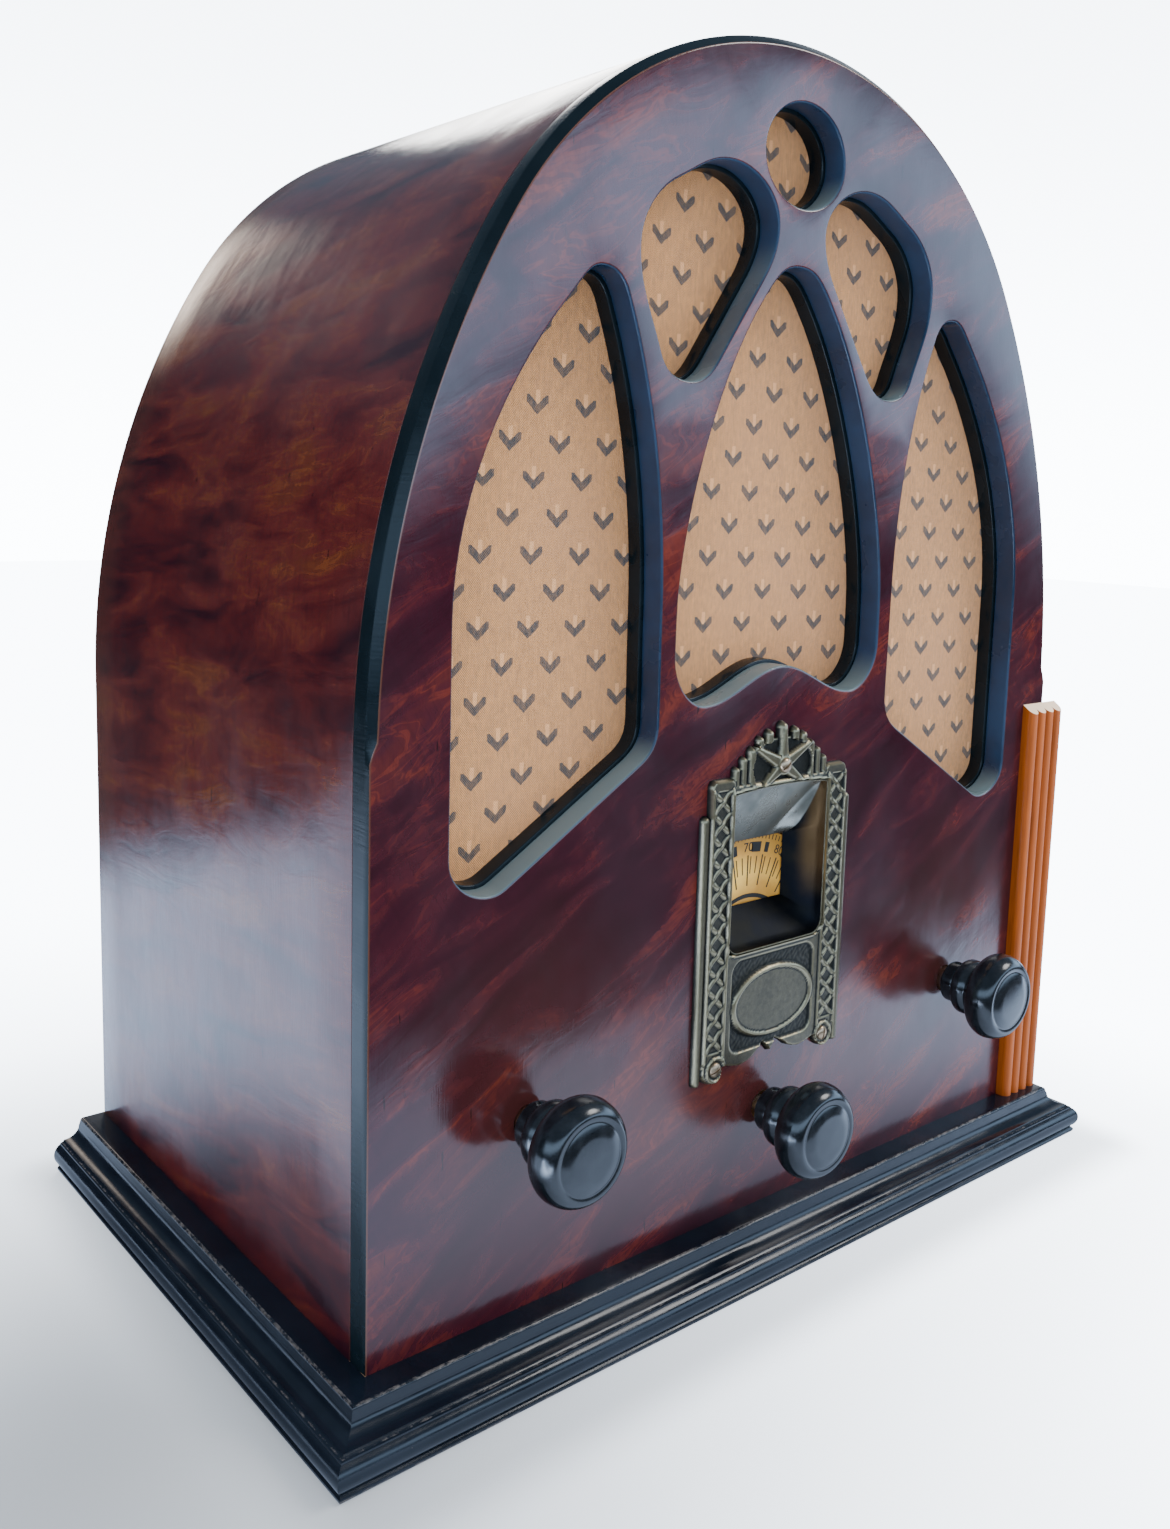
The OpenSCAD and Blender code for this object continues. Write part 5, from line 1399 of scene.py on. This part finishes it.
class RECEIVER_OT_dial_plate(bpy.types.Operator):
    """Cast the dial plate's relief and its funnelled window"""

    bl_idname = "receiver.dial_plate"
    bl_label = "Dial plate"

    # half the width of plate and window, the window's foot and top, and two thicknesses
    half, window, lo, hi, t, skirt = 35.0, 24.2, 100.6, 159.0, 2.6, 1.4
    # place of the lower screws, foot of the plate and top of its bars
    foot_x, foot_z, plate_foot, bar_top = 28.4, 59.6, 54.2, 164.0
    star_z = hi + 7.2  # the upper screw, amid its star of ribs
    # x, height over the window and radius of the crown's fingers
    fingers = [
        (0, 23, 2.4), (6.7, 20.6, 2), (11.3, 18.5, 1.7), (15.2, 15.2, 2), (19.2, 12, 1.5),
        (22.7, 8.8, 1.5),
    ]  # fmt: skip

    def window_gap(self, x, z, e=0.0):
        w = self.window
        top = self.hi - 1.4 * (x / w) ** 2
        body = box_gap(x, z, 0, (self.lo + self.hi + 10) / 2, w, (self.hi + 10 - self.lo) / 2, 5)
        return np.maximum(body, z - top) - e

    def body_gap(self, x, z):
        """The plate itself: side bars, swagged lower edge and head."""
        x = np.abs(x)
        foot, mid = self.plate_foot, (self.half + self.window) / 2
        bars = box_gap(x, z, mid - 0.5, (foot + 5 + self.bar_top) / 2, 5.9,
                       (self.bar_top - foot - 5) / 2, 2.5)  # fmt: skip
        feet = np.hypot(x - mid, z - foot - 5.2) - 5.2
        swag = [
            (-1, self.lo), (-1, foot + 5), (0, foot + 5), (3.2, foot + 9), (6.4, foot + 7.4),
            (9, foot + 5.2), (12, foot + 4), (15.5, foot + 3.4), (19, foot + 3.9),
            (self.window + 2, foot + 6), (self.window + 2, self.lo),
        ]  # fmt: skip
        field = outline_gap(x, z, swag)
        head = box_gap(x, z, 0, self.hi - 1.8, self.window + 1, 4.2)
        return np.minimum(np.minimum(bars, feet), np.minimum(field, head))

    def gaps(self, x, z):
        """Signed distances to the body, the crown's ground, its fingers and the outer ribs."""
        side, w, hi = np.abs(x), self.window, self.hi
        crown = [
            (-w, hi - 4), (w, hi - 4), (w, hi + 5), (15, hi + 13), (6, hi + 17), (-6, hi + 17),
            (-15, hi + 13), (-w, hi + 5),
        ]  # fmt: skip
        fingers = [
            (bar_gap(side, z, fx, hi - 2, fx, hi + up - r, r), r) for fx, up, r in self.fingers
        ]
        edge = self.half + 1.5
        rib = bar_gap(side, z, edge, self.plate_foot + 2, edge, self.bar_top - 14, 1.9)
        return self.body_gap(x, z), outline_gap(x, z, crown), fingers, rib

    def height(self, x, z, ridge):
        """Height of the casting over the board, below zero outside it."""
        side = np.abs(x)
        w, mid = self.window, (self.half + self.window) / 2
        body, crown, fingers, rib = self.gaps(x, z)
        tall = standing(-1.0, body, round_over(body, 0.9, self.t))
        tall = standing(tall, crown, round_over(crown, 0.6, self.skirt))
        clear = np.hypot(x / 15.5, (z - self.star_z) / 9.5) < 1
        for gap, r in fingers:
            core = np.where(clear, 0.0, round_over(gap + r * 0.22, r * 0.78, r * 0.75))
            tall = standing(tall, gap, round_over(gap, 0.5, self.skirt) + core)
        core = round_over(rib + 0.4, 1.5, 1.0)
        tall = standing(tall, rib, round_over(rib, 0.4, self.skirt) + core)
        # woven lattice between the bars' own borders
        low, count = self.plate_foot + 12, 12
        pitch = (self.bar_top - 4 - low) / count
        u = (side - mid) / ((self.half - w - 2.6) / 2)
        step = (z - low) / pitch
        raised = np.zeros_like(tall)
        for s, lift in ((1, 0.0), (-1, 0.5)):
            off = step - 0.5 - s * u * 0.5
            off = np.abs(off - np.round(off)) * pitch
            weave = 0.78 + 0.22 * np.cos(2 * np.pi * (step + u * s * 0.5 + lift))
            raised = np.maximum(raised, np.sqrt(np.clip(1 - (off / 1.35) ** 2, 0, 1)) * weave)
        bars = (np.abs(u) < 1) & (z > low) & (z < self.bar_top - 4)
        tall += np.where(bars & (body < -0.5), (raised - 0.45) * ridge, 0)
        on = body < 0
        for cx in (w + 0.75, self.half - 0.75):
            border = bar_gap(side, z, cx, low - 3, cx, self.bar_top - 4, 0.85)
            tall += on * round_over(border, 0.85, 0.75)
        # sunk field round the oval
        field = box_gap(side, z, 0, self.foot_z + 20.5, w - 2.6, 17.4, 5)
        oz = self.foot_z + 19.8
        oval = (np.hypot(x / 21.6, (z - oz) / 13) - 1) * 14.5
        sunk = np.clip(-field / 0.8, 0, 1) * np.clip(oval / 0.6, 0, 1)
        tall -= on * (sunk * 0.95)
        tall += round_over(np.abs(oval + 0.9) - 0.9, 0.9, 0.7)
        grain = 0.07 * np.sin(x * 2.1 + 1.3 * np.sin(z * 0.9)) * np.sin(z * 1.7 + np.sin(x * 1.3))
        tall += (sunk > 0.5) * grain
        # rings round the lower screws
        hoop = np.abs(np.hypot(side - self.foot_x, z - self.foot_z) - 4.3) - 0.75
        tall += on * round_over(hoop, 0.75, 0.9)
        # star of ribs round the upper screw
        for deg, reach in ((27, 15.5), (90, 13), (153, 15.5), (213, 12), (327, 12)):
            a = math.radians(deg)
            tip = reach * math.cos(a), self.star_z + reach * math.sin(a)
            arm = bar_gap(x, z, 0, self.star_z, *tip, 2.7, 1.3)
            tall = standing(tall, arm, self.skirt + round_over(arm, 1.1, 2.0))
        boss = np.hypot(x, z - self.star_z) - 3.8
        tall = standing(tall, boss, 2.6 + round_over(boss, 0.9, 1.0))
        # raised edge of the window
        bead = np.abs(self.window_gap(x, z) - 0.9) - 0.9
        tall += on * round_over(bead, 0.9, 0.45)
        return np.where(self.window_gap(x, z, 0.35) < 0, -1.0, tall)

    def gap(self, x, z):
        """Signed distance to the casting's outline."""
        body, crown, fingers, rib = self.gaps(x, z)
        best = np.minimum(body, crown)
        for finger, _ in fingers:
            best = np.minimum(best, finger)
        return np.maximum(np.minimum(best, rib), -self.window_gap(x, z, 0.35))

    def execute(self, context):
        sizes = context.scene.receiver_sizes
        form = Form()
        self.relief(form, sizes.grid * 1000, sizes.ridge * 1000)
        self.funnel(form)
        finishes = ["antique_brass", "funnel_brass"]
        form.piece("cast_dial_plate", finishes, ["dial_plate"], "antique_brass", angle=48)
        screws, slots = Form(), Form()
        for x, z, seat, deg in (
            (0, self.star_z, -self.t - 1.0, 35),
            (-self.foot_x, self.foot_z, -self.t, 20),
            (self.foot_x, self.foot_z, -self.t, 80),
        ):
            turns = [math.pi / 2 * k / 8 for k in range(9)]
            head = [(2.7 * math.sin(a), seat - 1.4 * math.cos(a)) for a in turns]
            turned(screws, x, z, head + [(1.3, seat), (1.25, 6.0), (0, 7.6)], n=40)
            a = math.radians(deg)
            long, wide = (3.2 * math.cos(a), 3.2 * math.sin(a)), (-math.sin(a), math.cos(a))
            corners = [
                (x + i * long[0] + j * 0.33 * wide[0], z + i * long[1] + j * 0.33 * wide[1])
                for i, j in ((-1, -1), (1, -1), (1, 1), (-1, 1))
            ]
            rows = [slots.loop(corners, seat - up) for up in (2, 0.6)]
            slots.strips(rows, ends=True)
        made = screws.piece("plate_screws", ["screw_brass"], ["dial_plate_screws"], "screw_brass")
        cut_away(made, slots)
        return {"FINISHED"}

    def relief(self, form, step, ridge):
        xs = np.arange(-40, 40 + step, step)
        zs = np.arange(self.plate_foot - 1, self.hi + 25, step)
        gx, gz = np.meshgrid(xs, zs)
        gap = self.gap(gx, gz)
        middle = (gap[:-1, :-1] + gap[1:, :-1] + gap[:-1, 1:] + gap[1:, 1:]) / 4
        kept = middle < 0
        used = np.zeros(gap.shape, bool)
        count = np.zeros(gap.shape, int)
        for dr in (0, 1):
            for dc in (0, 1):
                window = (slice(dr, gap.shape[0] - 1 + dr), slice(dc, gap.shape[1] - 1 + dc))
                used[window] |= kept
                count[window] += kept
        rim = used & (count < 4)
        px, pz = gx.copy(), gz.copy()
        for _ in range(3):
            g = self.gap(px, pz)
            dx = (self.gap(px + 0.05, pz) - self.gap(px - 0.05, pz)) / 0.1
            dz = (self.gap(px, pz + 0.05) - self.gap(px, pz - 0.05)) / 0.1
            size = np.maximum(dx * dx + dz * dz, 0.2)
            move = np.clip(-g / size, -0.6 * step, 0.6 * step)
            px = np.where(rim, px + move * dx, px)
            pz = np.where(rim, pz + move * dz, pz)
        tall = self.height(px, pz, ridge)
        tall = np.where(rim, np.maximum(tall, 0.15), np.maximum(tall, 0.3))
        around = np.pad(tall, 1, mode="edge")
        around = around[:-2, 1:-1] + around[2:, 1:-1] + around[1:-1, :-2] + around[1:-1, 2:]
        wear = np.clip(0.3 + (tall - 1.9) / 3.4 + (tall - around / 4) * 4, 0, 1)
        numbers = -np.ones(gap.shape, int)
        order = np.argwhere(used)
        points = [place(px[r, c], -tall[r, c], pz[r, c]) for r, c in order]
        ids = form.add(points)
        for k, (r, c) in enumerate(order):
            numbers[r, c] = ids[k]
            form.wear[ids[k]] = float(wear[r, c])
        edges = {}
        for r, c in np.argwhere(kept):
            quad = (numbers[r, c], numbers[r, c + 1], numbers[r + 1, c + 1], numbers[r + 1, c])
            quad = tuple(int(q) for q in quad)
            form.face(quad)
            for a, b in zip(quad, quad[1:] + quad[:1]):
                edges[(a, b)] = edges.get((a, b), 0) + 1
        border = [e for e in edges if (e[1], e[0]) not in edges]
        foot = {}
        for a, b in border:
            for k in (a, b):
                if k not in foot:
                    p = form.corners[k]
                    foot[k] = form.add([(p.x, place(0, 0, 0).y, p.z)])[0]
            form.face((b, a, foot[a], foot[b]))

    def funnel(self, form):
        cz, n = 124.0, 120
        angles = [math.tau * k / n for k in range(n)]
        angles += [math.atan2(z, x) % math.tau for x in (-17.5, 17.5) for z in (-12, 12)]
        angles = sorted(set(angles))

        def mouth(e):
            points = []
            for a in angles:
                near, far = 5.0, 60.0
                for _ in range(30):
                    mid = (near + far) / 2
                    x, z = mid * math.cos(a), cz + mid * math.sin(a)
                    if float(self.window_gap(np.array(x), np.array(z), e)) < 0:
                        near = mid
                    else:
                        far = mid
                points.append((near * math.cos(a), cz + near * math.sin(a)))
            return points

        def throat(e):
            points = []
            for a in angles:
                c, s = abs(math.cos(a)) + 1e-9, abs(math.sin(a)) + 1e-9
                r = min((17.5 + e) / c, (12 + e) / s)
                points.append((r * math.cos(a), cz + r * math.sin(a)))
            return points

        top = -self.t
        inner = [
            form.loop(mouth(0.4), top - 0.3, 0.6),
            form.loop(mouth(0.12), top - 0.22, 0.7),
            form.loop(mouth(0.0), top + 0.1, 0.4),
            form.loop(mouth(0.0), -0.2, 0.3),
        ]
        wide, narrow = mouth(0.0), throat(0.0)
        for k in range(1, 9):
            t = k / 8
            between = [
                (a[0] + (b[0] - a[0]) * t, a[1] + (b[1] - a[1]) * t) for a, b in zip(wide, narrow)
            ]
            inner.append(form.loop(between, 12 * t, 0.25))
        outer = [form.loop(throat(1.4), 12.0), form.loop(mouth(1.4), 0.05)]
        form.strips(inner[:3])
        form.strips(inner[2:], 1)
        form.strips([inner[-1]] + outer)


class RECEIVER_OT_dial(bpy.types.Operator):
    """Build the lit dial scale with its lines, block marks and numbers"""

    bl_idname = "receiver.dial"
    bl_label = "Dial scale"

    face = 12.6  # depth of the scale's front, and what is printed stands a little before it

    def mark(self, form, turn, r0, r1, wide, wide2=None):
        """A flat mark along a radius, wide at r0 and wide2 at r1, in millimetres."""
        a = math.radians(turn)
        out, side = (math.sin(a), math.cos(a)), (math.cos(a), -math.sin(a))
        wide2 = wide if wide2 is None else wide2
        shape = []
        for r, w in ((r0, -wide), (r0, wide), (r1, wide2), (r1, -wide2)):
            x = r * out[0] + w / 2 * side[0]
            z = DIAL_Z + r * out[1] + w / 2 * side[1]
            shape.append((x, z))
        rows = [form.loop(shape, self.face), form.loop(shape, self.face - 0.1)]
        form.strips(rows, 1, ends=True)

    def execute(self, context):
        form = Form()
        y, back = self.face, self.face + 0.8
        profile = ((7.0, back), (7.0, y), (24, y), (46.2, y), (46.4, y + 0.2), (46.4, back))
        rows = [form.loop(ring(0, DIAL_Z, r, 180), y) for r, y in profile]
        form.strips(rows + [rows[0]])
        for k in range(-75, 76):
            turn = k * 2.4
            if k % 5 == 0:
                self.mark(form, turn, 26.0, 37.6, 0.55)
            elif k % 5 in (1, 3):
                self.mark(form, turn, 30.5, 37.0, 0.4)
            self.mark(form, turn, 43.6, 45.6 if k % 5 else 46.0, 0.35)
        for k in range(-7, 8):
            self.mark(form, k * 24 + 6, 38.6, 42.4, 4.6, 5.0)
            self.mark(form, k * 24 + 14, 38.6, 42.4, 2.0, 2.2)
        # dark ring along the scale's inner edge: a painted shadow, drawn in the ink finish
        form.strips([form.loop(ring(0, DIAL_Z, r, 96), y - 0.05) for r in (21.4, 23.0)], 1)
        form.piece(
            "lit_scale", ["celluloid", "scale_ink"], ["dial_scale"], "celluloid", body="dial"
        )
        self.numbers()
        return {"FINISHED"}

    def numbers(self):
        """Plain numbers round the scale."""
        form = Form()
        for k in range(-7, 8):
            words = bpy.data.curves.new("figure", "FONT")
            words.body = str((k + 7) * 10)
            words.size = 5.0
            words.align_x = words.align_y = "CENTER"
            words.extrude = 0.04
            holder = linked("figure", words)
            graph = bpy.context.evaluated_depsgraph_get()
            mesh = bpy.data.meshes.new_from_object(holder.evaluated_get(graph))
            a = math.radians(k * 24)
            c, s = math.cos(a), math.sin(a)
            points = []
            for v in mesh.vertices:
                x, z = v.co.x, v.co.y + 40.5
                y = self.face - 0.06 - v.co.z
                points.append(place(c * x + s * z, y, DIAL_Z + c * z - s * x))
            ids = form.add(points)
            for p in mesh.polygons:
                form.face([ids[i] for i in p.vertices])
            bpy.data.objects.remove(holder)
            bpy.data.curves.remove(words)
            bpy.data.meshes.remove(mesh)
        form.piece("scale_numbers", ["scale_ink"], slot="celluloid", body="dial")


class RECEIVER_OT_knobs(bpy.types.Operator):
    """Turn the three black knobs"""

    bl_idname = "receiver.knobs"
    bl_label = "Knobs"

    def execute(self, context):
        sizes = context.scene.receiver_sizes
        r, f, g = sizes.knob_r * 1000, sizes.knob_reach * 1000, 3.2
        profile = [
            (3.3, -g), (7.6, -g), (8.2, -g - 0.6), (8.2, -g - 4.9), (7.6, -g - 5.7),
            (10.4, -g - 6.6), (11.2, -g - 8), (11.2, -g - 10.4), (10.4, -g - 11.8),
            (9.6, -g - 13), (10.4, -g - 14.4), (r - 3.6, -f + 14), (r - 1.1, -f + 12.2),
            (r, -f + 9.4), (r, -f + 7.6), (r - 0.5, -f + 5), (r - 1.7, -f + 2.8),
            (r - 3.4, -f + 1.3), (r - 4.7, -f + 1.3), (r - 5.6, -f + 1.6), (r - 6.5, -f + 1.1),
            (r - 9, -f + 0.3), (0.0, -f),
        ]  # fmt: skip
        smooth = eased(profile, 1.4, 5) + [(0.0, -f + 9.5), (3.3, -f + 9.5), (3.3, -g)]
        for name, body in (
            ("volume", "volume_knob_body"),
            ("tuning", "tuning_control"),
            ("tone", "tone_knob_body"),
        ):
            x, z = CONTROLS[name]
            form = Form()
            turned(form, x, z, smooth[:-3], n=128, wear=lambda r: 0.35 if r > 16.4 else 0.0)
            turned(form, x, z, smooth[-3:], n=128)
            knob = form.piece(
                f"{name}_knob_turned", ["bakelite"], [f"{name}_knob"], "bakelite", body, angle=50
            )
            hole = Form()
            rows = [
                hole.add([place(x + px, -g - 3.2 + py, z + up) for px, py in ring(0, 0, 1.6, 24)])
                for up in (3.4, 12)
            ]
            hole.strips(rows, ends=True)
            cut_away(knob, hole)
        return {"FINISHED"}


class RECEIVER_OT_loudspeaker(bpy.types.Operator):
    """Form the paper cone, its cloth surround and the corrugated spider"""

    bl_idname = "receiver.loudspeaker"
    bl_label = "Loudspeaker"

    z, y0 = 262.0, 23.8

    def execute(self, context):
        ribs = context.scene.receiver_sizes.cone_ribs
        lip, back = self.y0 + 3, self.y0 + 43
        out, inn = [(62.0, lip), (62.0, lip + 0.7), (60.4, lip + 1.2)], []
        for k in range(1, 49):
            t = k / 48
            r = 60.4 + (12.9 - 60.4) * t
            bow = 1.6 * math.sin(math.pi * t)
            rib = 0.35 * max(0.0, math.cos(ribs * math.tau * t)) ** 4 if 0.1 < t < 0.9 else 0
            y = lip + 1.2 + (back - lip - 1.2) * t + bow
            out.append((r, min(y + rib, back)))
            inn.append((r - 0.9, min(y + rib - 0.9, back - 1.2)))
        form = Form()
        shell = out + [(11.7, back), (11.7, back - 1.4)]
        shell += list(reversed(inn)) + [(59.8, lip + 0.5), (60.2, lip), out[0]]
        turned(form, 0, self.z, shell, n=120)
        form.piece("paper_cone", ["cone_paper"], ["speaker_cone"], "cone_paper", body="cone")
        form = Form()
        inner, outer, y = 62.4, 70.0, self.y0 + 3.4
        wave = [(inner + (outer - inner) * k / 32, y + 0.85 * math.sin(math.pi * k / 8))
                for k in range(33)]  # fmt: skip
        shell = wave + [(71.3, y - 0.25), (71.3, y + 0.6)]
        shell += [(r, yy + 0.6) for r, yy in reversed(wave)] + [wave[0]]
        turned(form, 0, self.z, shell, n=120)
        form.piece(
            "cloth_surround", ["surround_cloth"], ["speaker_surround"], "surround_cloth"
        )
        form = Form()
        pot = self.y0 + 49
        wave = [(13.2 + 15.8 * k / 48, pot - 5 + 0.58 * math.sin(math.tau * k / 8))
                for k in range(49)]  # fmt: skip
        shell = wave + [(29.4, pot - 5), (33, pot - 5), (33, pot - 2), (29.4, pot - 2)]
        shell += [(29.3, pot - 4.4)]
        shell += [(r, yy + 0.5) for r, yy in reversed(wave)] + [wave[0]]
        turned(form, 0, self.z, shell, n=96)
        form.piece("corrugated_spider", ["wound_paper"], ["cone_spider"], "surround_cloth")
        return {"FINISHED"}


class RECEIVER_OT_inside(bpy.types.Operator):
    """Give every solid that shows as it is the finish of its own stuff"""

    bl_idname = "receiver.inside"
    bl_label = "Inner parts"

    def execute(self, context):
        known = {
            "cabinet_wrap": "veneer_side",
            "wrap_veneer": "veneer_side",
            "panel_veneer": "veneer_front",
            "grille_cloth": "grille_weave",
        }
        for part in frame["record"]["subparts"]:
            slot = part["material_slot"]
            for layer in bpy.data.objects[part["node"]].material_slots:
                layer.material = finish(known.get(slot, slot))
        return {"FINISHED"}


class RECEIVER_PT_panel(bpy.types.Panel):
    """Settings and steps of the receiver"""

    bl_label = "Table receiver"
    bl_idname = "RECEIVER_PT_panel"
    bl_space_type = "VIEW_3D"
    bl_region_type = "UI"
    bl_category = "Receiver"

    def draw(self, context):
        layout = self.layout
        for operator in OPERATORS:
            layout.operator(operator.bl_idname)
        for group, title in (
            (context.scene.receiver_sizes, "Sizes"),
            (context.scene.receiver_look, "Finishes"),
            (context.scene.receiver_stage, "Stage"),
        ):
            box = layout.box()
            box.label(text=title)
            for key in group.__annotations__:
                box.prop(group, key)


OPERATORS = (
    RECEIVER_OT_stage,
    RECEIVER_OT_cable,
    RECEIVER_OT_inside,
    RECEIVER_OT_front,
    RECEIVER_OT_wrap,
    RECEIVER_OT_grille,
    RECEIVER_OT_plinth,
    RECEIVER_OT_pilaster,
    RECEIVER_OT_dial_plate,
    RECEIVER_OT_dial,
    RECEIVER_OT_knobs,
    RECEIVER_OT_loudspeaker,
)
CLASSES = (ReceiverLook, ReceiverSizes, ReceiverStage, *OPERATORS, RECEIVER_PT_panel)


def register():
    for kind in CLASSES:
        bpy.utils.register_class(kind)
    bpy.types.Scene.receiver_look = PointerProperty(type=ReceiverLook)
    bpy.types.Scene.receiver_sizes = PointerProperty(type=ReceiverSizes)
    bpy.types.Scene.receiver_stage = PointerProperty(type=ReceiverStage)


def unregister():
    del bpy.types.Scene.receiver_look
    del bpy.types.Scene.receiver_sizes
    del bpy.types.Scene.receiver_stage
    for kind in reversed(CLASSES):
        bpy.utils.unregister_class(kind)


def main():
    register()
    bpy.ops.receiver.stage()
    bpy.ops.receiver.cable()
    bpy.ops.receiver.inside()
    bpy.ops.receiver.front()
    bpy.ops.receiver.wrap()
    bpy.ops.receiver.grille()
    bpy.ops.receiver.plinth()
    bpy.ops.receiver.pilaster()
    bpy.ops.receiver.dial_plate()
    bpy.ops.receiver.dial()
    bpy.ops.receiver.knobs()
    bpy.ops.receiver.loudspeaker()


if __name__ == "__main__":
    main()
